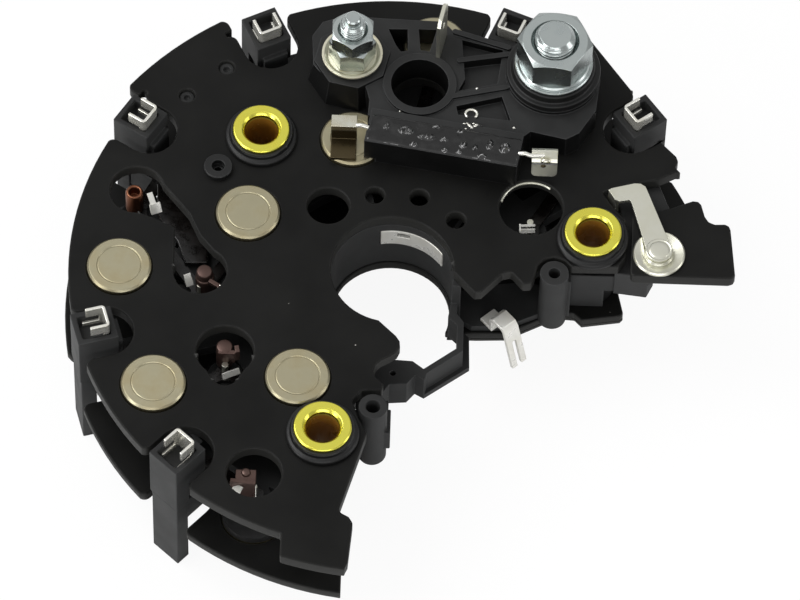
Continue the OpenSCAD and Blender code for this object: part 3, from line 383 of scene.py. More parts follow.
def blend_colour(tree, mask, a, b):
    """Colour a where the mask is 0 and b where it is 1."""
    n = node(tree, "ShaderNodeMix", data_type="RGBA")
    link(tree, mask, n.inputs["Factor"])
    for socket, value in ((n.inputs[6], a), (n.inputs[7], b)):
        if isinstance(value, tuple):
            socket.default_value = (*value, 1.0)
        else:
            link(tree, value, socket)
    return n.outputs[2]


def bump(tree, shader, height, distance, strength):
    """Height as a bump in the shader's normal, in metres."""
    n = node(tree, "ShaderNodeBump")
    n.inputs["Distance"].default_value = distance
    n.inputs["Strength"].default_value = strength
    link(tree, height, n.inputs["Height"])
    link(tree, n.outputs[0], shader.inputs["Normal"])
    return n


def times(colour, k):
    """A lighter or darker colour."""
    return tuple(min(1.0, c * k) for c in colour)


def upward(tree, low=0.35, high=0.8):
    """1 on faces that look up, 0 on upright ones."""
    geo = node(tree, "ShaderNodeNewGeometry")
    axis = node(tree, "ShaderNodeSeparateXYZ")
    link(tree, geo.outputs["Normal"], axis.inputs[0])
    return span(tree, axis.outputs["Z"], low, high)


def soft_edges(tree, shader, height, distance, strength, radius):
    """Grain on a normal that rolls over the sharp edges."""
    edge = node(tree, "ShaderNodeBevel", samples=6)
    edge.inputs["Radius"].default_value = radius
    n = bump(tree, shader, height, distance, strength)
    link(tree, edge.outputs[0], n.inputs["Normal"])


def coated_sheet(name, colour):
    """Black coated aluminium: satin, a little cloudy, greyer where its edges wear, with dust, and with
    painted light that makes its upright rims paler than the top.
    """
    m, tree, shader = start_material(name)
    grain = use_group(tree, "grain", Fine=5200.0, Coarse=70.0)
    clouds = grain.outputs["Clouds"]
    base = blend_colour(tree, span(tree, clouds, 0.35, 0.7), times(colour, 0.8), times(colour, 1.35))
    # Painted light: upright faces, the rims of the sheets, are made 3.6 times paler than the faces that look
    # up
    base = blend_colour(tree, upward(tree), times(colour, 3.6), base)
    edge = use_group(tree, "edge", Width=0.0005, Scale=500.0)
    worn = math_node(tree, "MULTIPLY", edge.outputs["Mask"], 0.6)
    base = blend_colour(tree, worn, base, (0.11, 0.11, 0.105))
    dust = use_group(tree, "dust", Scale=300.0, Size=0.045, Amount=0.02)
    base = blend_colour(tree, dust.outputs["Mask"], base, (0.3, 0.29, 0.27))
    link(tree, base, shader.inputs["Base Color"])
    link(tree, span(tree, clouds, 0.3, 0.7, 0.36, 0.5), shader.inputs["Roughness"])
    shader.inputs["Specular IOR Level"].default_value = 0.13
    bump(tree, shader, grain.outputs["Height"], 0.00002, 0.4)
    return m


def moulded_plastic(name, colour, rough, shine, upright):
    """Glass filled plastic: finely grained, worn edges, and upright faces painted paler than the top (painted
    light) where upright is above 1 and darker (painted shade) where it is below 1.
    """
    m, tree, shader = start_material(name)
    grain = use_group(tree, "grain", Fine=2600.0, Coarse=160.0)
    clouds = grain.outputs["Clouds"]
    base = blend_colour(tree, span(tree, clouds, 0.3, 0.7), times(colour, 0.8), times(colour, 1.25))
    # Painted light and shade: upright faces take the colour times upright, paler above 1 and darker below 1
    base = blend_colour(tree, upward(tree), times(colour, upright), base)
    edge = use_group(tree, "edge", Width=0.00035, Scale=900.0)
    worn = math_node(tree, "MULTIPLY", edge.outputs["Mask"], 0.4)
    base = blend_colour(tree, worn, base, (0.09, 0.092, 0.095))
    dust = use_group(tree, "dust", Scale=450.0, Size=0.05, Amount=0.02)
    base = blend_colour(tree, dust.outputs["Mask"], base, (0.3, 0.3, 0.28))
    link(tree, base, shader.inputs["Base Color"])
    link(tree, span(tree, clouds, 0.3, 0.7, *rough), shader.inputs["Roughness"])
    shader.inputs["Specular IOR Level"].default_value = shine
    soft_edges(tree, shader, grain.outputs["Height"], 0.00004, 0.4, 0.0002)
    return m


# Painted shade on the lower part of a plated piece, such as a deep bore: its colour, the height in metres
# where it starts and how metallic it is
PaintedShade = namedtuple("PaintedShade", "colour start metal")


def plated_metal(name, colour, rough, tint, stain, height=0.000008, metal=1.0, painted_shade=None):
    """Plated metal with faint stains, and painted shade of another colour below the height where
    painted_shade starts.
    """
    m, tree, shader = start_material(name)
    grain = use_group(tree, "grain", Fine=3500.0, Coarse=230.0)
    clouds = grain.outputs["Clouds"]
    dirt = math_node(tree, "MULTIPLY", span(tree, clouds, 0.42, 0.68), stain)
    base = blend_colour(tree, dirt, colour, tuple(c * t for c, t in zip(colour, tint)))
    dust = use_group(tree, "dust", Scale=900.0, Size=0.08, Amount=0.04)
    base = blend_colour(tree, dust.outputs["Mask"], base, times(colour, 0.4))
    if painted_shade:
        geo = node(tree, "ShaderNodeNewGeometry")
        place = node(tree, "ShaderNodeSeparateXYZ")
        link(tree, geo.outputs["Position"], place.inputs[0])
        # Painted shade: below its start height the colour turns to the shade colour and becomes less metallic
        sunk = span(tree, place.outputs["Z"], painted_shade.start, painted_shade.start - 0.6 * MM)
        base = blend_colour(tree, sunk, base, painted_shade.colour)
        link(tree, span(tree, sunk, 0.0, 1.0, metal, painted_shade.metal), shader.inputs["Metallic"])
    else:
        shader.inputs["Metallic"].default_value = metal
    link(tree, base, shader.inputs["Base Color"])
    link(tree, span(tree, clouds, 0.3, 0.7, *rough), shader.inputs["Roughness"])
    soft_edges(tree, shader, grain.outputs["Height"], height, 0.4, 0.00012)
    return m


def glossy_resin(name, colour, rough):
    """Poured resin or varnish with a wavy skin that shines most where it is steep."""
    m, tree, shader = start_material(name)
    grain = use_group(tree, "grain", Fine=1500.0, Coarse=420.0)
    clouds = grain.outputs["Clouds"]
    base = blend_colour(tree, span(tree, clouds, 0.5, 0.75), colour, times(colour, 2.4))
    link(tree, base, shader.inputs["Base Color"])
    link(tree, span(tree, clouds, 0.35, 0.65, *rough), shader.inputs["Roughness"])
    flat = upward(tree, 0.7, 0.95)
    link(tree, span(tree, flat, 0.0, 1.0, 1.0, 0.45), shader.inputs["Specular IOR Level"])
    link(tree, span(tree, flat, 0.0, 1.0, 0.8, 0.0), shader.inputs["Coat Weight"])
    bump(tree, shader, clouds, 0.0002, 0.5)
    return m


def finishes(colours):
    """Maker, name, colour and options of every finish, from the colours in the panel."""
    coating, plastic, tin = tuple(colours.coating), tuple(colours.plastic), tuple(colours.tin)
    # Height under which the bushing bores get painted shade
    bore_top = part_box("bushing_1")[1].z - 0.001
    # Height on the first capacitor tab under which its finish is painted shade
    flap_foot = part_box("capacitor_tab_1")[1].z - 0.001
    return {
        "coating": (coated_sheet, "black coated aluminium", coating, {}),
        "backing": (coated_sheet, "black backing sheet", times(coating, 1.5), {}),
        # Painted light: the upright faces of the frame are made 1.9 times paler than its top
        "frame_plastic": (
            moulded_plastic, "moulded frame plastic", plastic,
            {"rough": (0.5, 0.64), "shine": 0.25, "upright": 1.9}),
        # Painted shade: the upright faces of the terminal block are made almost black
        "block_plastic": (
            moulded_plastic, "terminal block plastic", times(plastic, 1.1),
            {"rough": (0.4, 0.55), "shine": 0.25, "upright": 0.15}),
        # Painted shade: the upright faces of the insulators are made darker than their tops
        "insulator_plastic": (
            moulded_plastic, "insulator plastic", times(plastic, 0.6),
            {"rough": (0.3, 0.45), "shine": 0.3, "upright": 0.6}),
        "nickel": (
            plated_metal, "warm nickel plating", tuple(colours.nickel),
            {"rough": (0.3, 0.42), "tint": (0.86, 0.8, 0.7), "stain": 0.7}),
        # Painted shade: each bushing bore turns dark brown from 1 mm under its top downwards
        "bushing": (
            plated_metal, "yellow passivated zinc", tuple(colours.bushing),
            {"rough": (0.2, 0.3), "tint": (0.92, 0.8, 0.6), "stain": 0.4,
             "painted_shade": PaintedShade((0.3, 0.14, 0.02), bore_top, 0.25)}),
        "zinc": (
            plated_metal, "bright zinc", tuple(colours.zinc),
            {"rough": (0.2, 0.3), "tint": (0.75, 0.77, 0.8), "stain": 0.35, "height": 0.000002}),
        "dished": (
            plated_metal, "pale nickel washer", (0.74, 0.71, 0.56),
            {"rough": (0.3, 0.4), "tint": (0.88, 0.85, 0.76), "stain": 0.5, "metal": 0.8}),
        "tin": (
            plated_metal, "tinned sheet", tin,
            {"rough": (0.26, 0.38), "tint": (0.84, 0.83, 0.76), "stain": 0.5, "metal": 0.92}),
        "pale_tin": (
            plated_metal, "bright tinned sheet", (0.86, 0.85, 0.8),
            {"rough": (0.24, 0.36), "tint": (0.86, 0.84, 0.76), "stain": 0.4, "metal": 0.45}),
        # Tarnish as faint stains, and painted shade: from 1 mm under the top of the first capacitor tab down,
        # the sheet is dark brown
        "tarnished": (
            plated_metal, "tarnished tinned sheet", tin,
            {"rough": (0.2, 0.32), "tint": (0.7, 0.6, 0.45), "stain": 0.6,
             "painted_shade": PaintedShade((0.075, 0.058, 0.03), flap_foot, 0.9)}),
        "solder": (
            plated_metal, "solder", (0.84, 0.83, 0.77),
            {"rough": (0.16, 0.28), "tint": (0.8, 0.77, 0.66), "stain": 0.4, "height": 0.00002,
             "metal": 0.75}),
        "copper": (
            plated_metal, "dull copper", tuple(colours.copper),
            {"rough": (0.3, 0.42), "tint": (0.5, 0.42, 0.4), "stain": 0.7}),
        "dark_copper": (
            plated_metal, "darkened copper", (0.1, 0.062, 0.052),
            {"rough": (0.25, 0.4), "tint": (0.6, 0.5, 0.5), "stain": 0.6, "metal": 0.7}),
        "varnish": (glossy_resin, "varnished conductor", (0.004, 0.003, 0.0025), {"rough": (0.2, 0.35)}),
        "dull_resin": (glossy_resin, "dull resin", (0.006, 0.006, 0.006), {"rough": (0.4, 0.5)}),
        "resin": (glossy_resin, "potting resin", tuple(colours.resin), {"rough": (0.04, 0.14)}),
    }


MATERIALS = {}


def finish_of(name):
    """Each finish of the rectifier, made the first time that it is asked for."""
    if name not in MATERIALS:
        maker, label, colour, options = finishes(bpy.context.scene.rectifier_colours)[name]
        MATERIALS[name] = maker(label, colour, **options)
    return MATERIALS[name]


# Meshes


def dress(names, finish, width=0.0):
    """A finish and slightly rounded edges on solids that keep their own shape; the width is in metres."""
    material = finish_of(finish)
    for name in names:
        obj = NODES[name]
        obj.data.materials.clear()
        obj.data.materials.append(material)
        for p in obj.data.polygons:
            p.material_index = 0
        if not width:
            continue
        weld = obj.modifiers.new("weld", "WELD")
        weld.merge_threshold = 0.000002
        flat = obj.modifiers.new("flat faces", "DECIMATE")
        flat.decimate_type = "DISSOLVE"
        flat.angle_limit = math.radians(0.4)
        edge = obj.modifiers.new("rounded edges", "BEVEL")
        edge.width = width
        edge.segments = 2
        edge.limit_method = "ANGLE"
        edge.angle_limit = math.radians(32)
        edge.use_clamp_overlap = False
        edge.miter_outer = "MITER_ARC"
        normals = obj.modifiers.new("weighted normals", "WEIGHTED_NORMAL")
        normals.keep_sharp = False


def numbered(name, count):
    """Names of like solids, such as bushing_1 to bushing_3."""
    return [f"{name}_{i}" for i in range(1, count + 1)]


def add_piece(name, bm, finish, replaces=(), sharp=38.0):
    """A mesh drawn in millimetres as a piece with its finish; edges over the sharp angle stay crisp."""
    bmesh.ops.scale(bm, vec=(MM, MM, MM), verts=bm.verts)
    bmesh.ops.recalc_face_normals(bm, faces=bm.faces)
    mesh = bpy.data.meshes.new(name)
    bm.to_mesh(mesh)
    bm.free()
    for p in mesh.polygons:
        p.use_smooth = True
    mesh.set_sharp_from_angle(angle=math.radians(sharp))
    obj = bpy.data.objects.new(name, mesh)
    bpy.context.scene.collection.objects.link(obj)
    mesh.materials.append(finish_of(finish))
    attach(obj, "root")
    if replaces:
        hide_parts(*replaces)
    return obj


def round_edges(obj, width, segments=2, angle=38.0):
    """Rounds the edges of a piece that are sharper than the angle; the width is in metres."""
    edge = obj.modifiers.new("rounded edges", "BEVEL")
    edge.width = width
    edge.segments = segments
    edge.limit_method = "ANGLE"
    edge.angle_limit = math.radians(angle)
    edge.harden_normals = True


def join_rings(bm, rings, closed=False):
    """Faces between neighbouring rings, with flat ends or, if closed, with the last joined to the first."""
    pairs = list(zip(rings, rings[1:]))
    if closed:
        pairs.append((rings[-1], rings[0]))
    for a, b in pairs:
        for i in range(len(a)):
            j = (i + 1) % len(a)
            bm.faces.new((a[i], a[j], b[j], b[i]))
    if not closed:
        bm.faces.new(list(reversed(rings[0])))
        bm.faces.new(rings[-1])


def lathe(bm, profile, at, steps=64, knurl=0.0):
    """Turns a closed profile of (radius, height) points; a third value of 1 marks a knurled row."""
    rings = []
    for row in profile:
        r, z = row[0], row[1]
        dip = knurl if len(row) > 2 else 0.0
        if r < 1e-7:
            rings.append([bm.verts.new((at.x, at.y, at.z + z))])
            continue
        ring = []
        for i in range(steps):
            t = 2 * math.pi * i / steps
            q = r - dip * (i % 2)
            ring.append(bm.verts.new((at.x + q * math.cos(t), at.y + q * math.sin(t), at.z + z)))
        rings.append(ring)
    for a, b in zip(rings, rings[1:] + rings[:1]):
        if len(a) == 1 and len(b) == 1:
            continue
        for i in range(steps):
            j = (i + 1) % steps
            if len(a) == 1:
                bm.faces.new((a[0], b[i], b[j]))
            elif len(b) == 1:
                bm.faces.new((a[i], b[0], a[j]))
            else:
                bm.faces.new((a[i], b[i], b[j], a[j]))


def slab(bm, at, size, turn=0.0, tilt=0.0):
    """A thin box at a point, tipped towards the front by tilt and turned about Z, in degrees."""
    place = (Matrix.Translation(at) @ Matrix.Rotation(math.radians(turn), 4, "Z")
             @ Matrix.Rotation(math.radians(tilt), 4, "X"))
    made = bmesh.ops.create_cube(bm, size=1.0)
    bmesh.ops.scale(bm, vec=size, verts=made["verts"])
    bmesh.ops.transform(bm, matrix=place, verts=made["verts"])


def ball(bm, at, radius, squash=(1, 1, 1), detail=2):
    """A round drop, squashed along each axis."""
    made = bmesh.ops.create_icosphere(bm, subdivisions=detail, radius=radius)
    bmesh.ops.scale(bm, vec=squash, verts=made["verts"])
    bmesh.ops.translate(bm, vec=at, verts=made["verts"])


def prism(bm, outline, low, high, turn=None):
    """A closed outline in X and Y raised from low to high, then moved by a matrix."""
    bottom = [bm.verts.new((x, y, low)) for x, y in outline]
    top = [bm.verts.new((x, y, high)) for x, y in outline]
    join_rings(bm, [bottom, top])
    if turn is not None:
        bmesh.ops.transform(bm, matrix=turn, verts=bottom + top)


def ribbon_outline(path, thickness):
    """Outline of a sheet of that thickness whose middle line is the path."""
    left, right = [], []
    for i, p in enumerate(path):
        a = path[max(i - 1, 0)]
        b = path[min(i + 1, len(path) - 1)]
        d = (Vector(b) - Vector(a)).normalized()
        n = Vector((-d.y, d.x)) * thickness / 2
        left.append((p[0] + n.x, p[1] + n.y))
        right.append((p[0] - n.x, p[1] - n.y))
    return left + list(reversed(right))


def round_path(points, radius, steps=4):
    """A polyline whose inner corners are curves that start where an arc of that radius would."""
    out = [tuple(points[0])]
    for i in range(1, len(points) - 1):
        p = Vector(points[i])
        a = (Vector(points[i - 1]) - p).normalized()
        b = (Vector(points[i + 1]) - p).normalized()
        cut = radius / math.tan(a.angle(b) / 2)
        start, end = p + a * cut, p + b * cut
        for k in range(steps + 1):
            t = k / steps
            q = start.lerp(p, t).lerp(p.lerp(end, t), t)
            out.append((q.x, q.y))
    out.append(tuple(points[-1]))
    return out


def tube(bm, path, radius, steps=14):
    """A round wire along a path of 3-D points, closed at both ends."""
    rings = []
    side = None
    for i, p in enumerate(path):
        a = Vector(path[max(i - 1, 0)])
        b = Vector(path[min(i + 1, len(path) - 1)])
        d = (b - a).normalized()
        if side is None:
            side = d.orthogonal().normalized()
        side = (side - d * side.dot(d)).normalized()
        up = d.cross(side)
        turns = (2 * math.pi * k / steps for k in range(steps))
        rings.append([
            bm.verts.new(Vector(p) + (side * math.cos(t) + up * math.sin(t)) * radius) for t in turns])
    join_rings(bm, rings)


def curve_points(points, steps=6):
    """A smooth line through 3-D points."""
    pts = [Vector(p) for p in points]
    pts = [pts[0]] + pts + [pts[-1]]
    out = []
    for i in range(1, len(pts) - 2):
        p0, p1, p2, p3 = pts[i - 1], pts[i], pts[i + 1], pts[i + 2]
        for k in range(steps):
            t = k / steps
            out.append(0.5 * ((2 * p1) + (p2 - p0) * t + (2 * p0 - 5 * p1 + 4 * p2 - p3) * t * t
                              + (3 * p1 - p0 - 3 * p2 + p3) * t * t * t))
    out.append(pts[-2])
    return out


def threaded_rod(bm, at, radius, depth, pitch, low, high, tip, steps=48):
    """A rod with a helical thread, chamfered at its tip."""
    rows = int((high - low) / pitch * 10)
    rings = []
    for k in range(rows + 1):
        z = low + (high - low) * k / rows
        end = min(radius, radius - tip + high - z)
        ring = []
        for i in range(steps):
            t = 2 * math.pi * i / steps
            wave = abs((z / pitch - t / (2 * math.pi)) % 1.0 * 2 - 1)
            groove = min(1.0, max(0.0, (0.62 - wave) / 0.5))
            r = min(end, radius - depth * groove)
            ring.append(bm.verts.new((at.x + r * math.cos(t), at.y + r * math.sin(t), z)))
        rings.append(ring)
    join_rings(bm, rings)


def hex_nut(bm, at, across, low, high, bore, turn):
    """A hexagon nut with its corners turned off at both ends and a countersunk bore."""
    steps = 96
    face = across / 2 * 0.985
    slope = 0.62
    sink = bore * 0.09

    def outside(a):
        return across / 2 / math.cos(a % (math.pi / 3) - math.pi / 6)

    # The edge of a chamfer follows each flat as an arch
    rows = (
        lambda a: (face, low),
        lambda a: (outside(a), low + (outside(a) - face) * slope),
        lambda a: (outside(a), high - (outside(a) - face) * slope),
        lambda a: (face, high),
        lambda a: (bore / 2 + sink, high),
        lambda a: (bore / 2, high - sink),
        lambda a: (bore / 2, low + sink),
        lambda a: (bore / 2 + sink, low),
    )
    rings = []
    for row in rows:
        ring = []
        for i in range(steps):
            a = 2 * math.pi * i / steps
            r, z = row(a)
            ring.append(bm.verts.new((at.x + r * math.cos(a + turn), at.y + r * math.sin(a + turn), z)))
        rings.append(ring)
    join_rings(bm, rings, closed=True)


# Steps


class RectifierOperator(bpy.types.Operator):
    """One step of building the rectifier"""
    bl_options = {"REGISTER", "UNDO"}

    def sizes(self):
        return bpy.context.scene.rectifier_sizes


class SCENE_OT_rectifier_stage(RectifierOperator):
    """Floor, soft lamps, world and the camera at the photographed angle"""
    bl_idname = "scene.rectifier_stage"
    bl_label = "Stage"

    def make_world(self, scene):
        world = bpy.data.worlds.new("pale studio")
        scene.world = world
        world.use_nodes = True
        tree = world.node_tree
        tree.nodes.clear()
        out = node(tree, "ShaderNodeOutputWorld")
        coord = node(tree, "ShaderNodeTexCoord")
        split = node(tree, "ShaderNodeSeparateXYZ")
        link(tree, coord.outputs["Generated"], split.inputs[0])
        ramp = node(tree, "ShaderNodeValToRGB")
        stops = ramp.color_ramp.elements
        for i, (height, level) in enumerate(STUDIO_GREYS):
            ends = {0: 0, len(STUDIO_GREYS) - 1: -1}
            stop = stops[ends[i]] if i in ends else stops.new(height)
            stop.position = height
            stop.color = (level, level, level, 1)
        link(tree, split.outputs["Z"], ramp.inputs[0])
        soft = node(tree, "ShaderNodeBackground")
        link(tree, ramp.outputs[0], soft.inputs["Color"])
        white = node(tree, "ShaderNodeBackground")
        white.inputs["Color"].default_value = (1, 1, 1, 1)
        path = node(tree, "ShaderNodeLightPath")
        mix = node(tree, "ShaderNodeMixShader")
        link(tree, path.outputs["Is Camera Ray"], mix.inputs[0])
        link(tree, soft.outputs[0], mix.inputs[1])
        link(tree, white.outputs[0], mix.inputs[2])
        link(tree, mix.outputs[0], out.inputs[0])

    def make_floor(self, scene):
        """Pale floor that the camera sees almost white and that keeps a soft shadow."""
        bm = bmesh.new()
        bmesh.ops.create_grid(bm, x_segments=2, y_segments=2, size=2.5)
        mesh = bpy.data.meshes.new("floor")
        bm.to_mesh(mesh)
        bm.free()
        floor = bpy.data.objects.new("floor", mesh)
        floor.location.z = -0.05 * MM
        scene.collection.objects.link(floor)
        m, tree, shader = start_material("white floor")
        shader.inputs["Base Color"].default_value = (0.8, 0.8, 0.8, 1)
        shader.inputs["Roughness"].default_value = 0.9
        shader.inputs["Specular IOR Level"].default_value = 0.1
        glow = node(tree, "ShaderNodeEmission")
        glow.inputs["Strength"].default_value = 1.02
        path = node(tree, "ShaderNodeLightPath")
        share = math_node(tree, "MULTIPLY", path.outputs["Is Camera Ray"], 0.9)
        mix = node(tree, "ShaderNodeMixShader")
        link(tree, share, mix.inputs[0])
        link(tree, shader.outputs[0], mix.inputs[1])
        link(tree, glow.outputs[0], mix.inputs[2])
        link(tree, mix.outputs[0], tree.nodes["Material Output"].inputs[0])
        mesh.materials.append(m)

    def make_lamps(self, scene):
        for name, place, width, height, watts in LAMPS:
            data = bpy.data.lights.new(name, "AREA")
            data.shape = "RECTANGLE"
            data.size, data.size_y, data.energy = width, height, watts
            obj = bpy.data.objects.new(name, data)
            scene.collection.objects.link(obj)
            obj.location = place
            aim = LAMP_TARGET - Vector(place)
            obj.rotation_euler = aim.to_track_quat("-Z", "Y").to_euler()

    def make_camera(self, scene):
        elevation, roll = math.radians(VIEW_ELEVATION), math.radians(VIEW_ROLL)
        back = Vector((0, -math.cos(elevation), math.sin(elevation)))
        right = Vector((1, 0, 0))
        up = back.cross(right)
        rolled_right = right * math.cos(roll) + up * math.sin(roll)
        rolled_up = up * math.cos(roll) - right * math.sin(roll)
        data = bpy.data.cameras.new("photo camera")
        data.lens, data.sensor_width = VIEW_LENS, VIEW_SENSOR
        data.clip_start, data.clip_end = 0.05, 20.0
        camera = bpy.data.objects.new("photo camera", data)
        scene.collection.objects.link(camera)
        target = Vector((*VIEW_TARGET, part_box("upper_heat_sink")[1].z))
        turn = Matrix((rolled_right, rolled_up, back)).transposed().to_4x4()
        camera.matrix_world = Matrix.Translation(target + back * VIEW_DISTANCE) @ turn
        scene.camera = camera

    def execute(self, context):
        scene = context.scene
        scene.view_settings.view_transform = "Standard"
        self.make_world(scene)
        self.make_floor(scene)
        self.make_lamps(scene)
        self.make_camera(scene)
        return {"FINISHED"}


class MESH_OT_rectifier_heat_sinks(RectifierOperator):
    """Black coating and stamped edges of the heat sinks and the backing sheet"""
    bl_idname = "mesh.rectifier_heat_sinks"
    bl_label = "Heat sinks"

    def execute(self, context):
        s = self.sizes()
        sinks = ["upper_heat_sink", "lower_heat_sink", "auxiliary_heat_sink"]
        dress(sinks, "coating", s.sheet_edge)
        dress(["backing_sheet"], "backing", s.sheet_edge * 0.5)
        return {"FINISHED"}


class MESH_OT_rectifier_frame(RectifierOperator):
    """Moulded frame with its towers, stakes and locating pin"""
    bl_idname = "mesh.rectifier_frame"
    bl_label = "Moulded frame"

    def tower_skirts(self):
        """Upright walls between the heat sinks, one behind each tower."""
        bm = bmesh.new()
        low, high = in_mm(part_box("lower_heat_sink"))[0].z, in_mm(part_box("terminal_frame"))[0].z
        for i in range(6):
            angle = FIRST_TOWER + PAIR_STEP * (i // 2) + TOWER_STEP * (i % 2)
            at = polar(SKIRT_RADIUS, angle, (low + high) / 2)
            slab(bm, at, (SKIRT_DEPTH, SKIRT_WIDTH, high - low), angle)
        add_piece("tower_skirts", bm, "frame_plastic")

    def locating_pin(self):
        """Flanged pin, stepped inside its bore."""
        low, high = in_mm(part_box("locating_pin"))
        foot = low.z - high.z
        profile = [
            (1.3, 0), (2.7, 0), (2.85, -0.15), (2.85, -1.1), (2.7, -1.2), (1.2, -1.2), (1.2, foot),
            (0, foot), (0, -3.0), (0.7, -3.0), (0.7, -1.6), (1.3, -1.6)]
        bm = bmesh.new()
        lathe(bm, profile, axis_of("locating_pin", high.z), 48)
        add_piece("locating_pin_turned", bm, "insulator_plastic", ["locating_pin"])

    def execute(self, context):
        s = self.sizes()
        edged = ["frame_boss", "end_carrier", "heat_sink_stakes"] + TOWERS
        dress(edged, "frame_plastic", s.moulded_edge)
        dress(["terminal_frame", "shaft_collar"], "frame_plastic")
        self.tower_skirts()
        self.locating_pin()
        return {"FINISHED"}


class MESH_OT_rectifier_diodes(RectifierOperator):
    """Press-fit diodes with a knurled cup, resin and a tinned lead"""
    bl_idname = "mesh.rectifier_diodes"
    bl_label = "Diodes"

    def diode(self, name, face_up):
        """Cup, resin and lead, drawn in mm as (radius, depth below the face)."""
        low, high = in_mm(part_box(name))
        r = (high.x - low.x) / 2
        face, end, way = (high.z, low.z, -1) if face_up else (low.z, high.z, 1)
        at = axis_of(name, face)
        inside = r - 0.9
        rim = 5.0 if face_up else 3.7
        groove = [(0, 0.03), (4.12, 0.03), (4.2, 0.11), (4.32, 0.11), (4.42, 0)]
        chamfer = [(r - 0.5, 0), (r - 0.48, 0.015), (r - 0.12, 0.34), (r - 0.1, 0.4)]
        knurls = [(r, 0.9, 1), (r, rim - 0.4, 1)]
        mouth = [(r - 0.2, rim), (inside, rim), (inside, 3.5), (0, 3.5)]
        resin = [
            (0, 3.4), (inside - 0.02, 3.4), (inside - 0.02, rim + 0.02), (r - 0.12, rim + 0.02),
            (r - 0.2, 5.35), (r - 1.0, 5.5), (2.6, 5.6), (1.6, 6.1), (0.9, 6.5), (0, 6.55)]

        def turned(profile, steps, knurl=0.0):
            bm = bmesh.new()
            lathe(bm, [(row[0], row[1] * way, *row[2:]) for row in profile], at, steps, knurl)
            return bm

        cup = turned(groove + chamfer + knurls + mouth, 96, 0.16)
        add_piece(f"{name}_cup", cup, "nickel", [name], 24)
        add_piece(f"{name}_resin", turned(resin, 48), "dull_resin")
        bm = bmesh.new()
        wire = self.sizes().lead_wire / 2 / MM
        tube(bm, [axis_of(name, face + 6 * way), axis_of(name, end)], wire)
        add_piece(f"{name}_lead", bm, "tin")

    def execute(self, context):
        for upper, lower in zip(numbered("upper_diode", 6), numbered("lower_diode", 6)):
            self.diode(upper, True)
            self.diode(lower, False)
        dress(["auxiliary_diode"], "tin")
        return {"FINISHED"}


class MESH_OT_rectifier_joints(RectifierOperator):
    """Ends of the phase conductors that are seen in the openings over the lower diodes"""
    bl_idname = "mesh.rectifier_joints"
    bl_label = "Lead joints"

    def dark_strap(self):
        bm = bmesh.new()
        prism(bm, list(reversed(STRAP_OUTLINE)), STRAP_LOW, STRAP_HIGH)
        round_edges(add_piece("dark_strap", bm, "varnish"), 0.3 * MM)

    # Painted reflection: a bright tinned wire along the wall of the window over the fifth lower diode
    def window_reflection(self):
        bm = bmesh.new()
        tube(bm, [REFLECTION_CENTRE + polar(REFLECTION_RADIUS, a) for a in REFLECTION_ANGLES], REFLECTION_WIRE, 10)
        add_piece("window_reflection", bm, "tin")

    def barrel(self, bm, at, part):
        """A crimped barrel with a rounded rim and, if it has a bore, a sunk middle."""
        r, height = part.radius, part.top - BARREL_FOOT
        profile = [
            (0, 0), (r - 0.25, 0), (r, 0.25), (r, height - 0.45), (r - 0.15, height - 0.1), (r - 0.4, height)]
        if part.bore:
            floor = height - BARREL_DEPTH
            profile += [(part.bore + 0.15, height - 0.1), (part.bore, height - 0.5), (part.bore, floor)]
        else:
            floor = height
        lathe(bm, profile + [(0, floor)], Vector((at.x + part.x, at.y + part.y, BARREL_FOOT)), 32)

    def sheets(self, bm, at, parts):
        for p in parts:
            place = (at.x + p.x, at.y + p.y, p.height)
            slab(bm, place, (p.width, p.depth, p.length), p.turn, p.tilt)

    def joint(self, name, joint, copper):
        at = axis_of(name)
        if joint.barrels or joint.straps:
            bm = bmesh.new()
            for part in joint.barrels:
                self.barrel(bm, at, part)
            self.sheets(bm, at, joint.straps)
            round_edges(add_piece(f"{name}_crimp", bm, copper), 0.12 * MM)
        bm = bmesh.new()
        self.sheets(bm, at, joint.tinned)
        round_edges(add_piece(f"{name}_tinned_end", bm, "pale_tin"), 0.1 * MM)

    def execute(self, context):
        dress(numbered("phase_bar", 3), "varnish")
        self.dark_strap()
        self.window_reflection()
        for number, joint in JOINTS.items():
            copper = "copper" if number == 1 else "dark_copper"
            self.joint(f"lower_diode_{number}", joint, copper)
        return {"FINISHED"}


class MESH_OT_rectifier_bushings(RectifierOperator):
    """Yellow bushings in their black stepped insulators"""
    bl_idname = "mesh.rectifier_bushings"
    bl_label = "Bushings"

    def execute(self, context):
        s = self.sizes()
        dress(numbered("bushing", 3), "bushing", s.metal_edge)
        dress(numbered("insulator", 3), "insulator_plastic", s.moulded_edge)
        return {"FINISHED"}


class MESH_OT_rectifier_clips(RectifierOperator):
    """Bent and pierced lead clips on the towers"""
    bl_idname = "mesh.rectifier_clips"
    bl_label = "Lead clips"

    def execute(self, context):
        dress(numbered("lead_clip", 6), "solder", self.sizes().metal_edge)
        return {"FINISHED"}


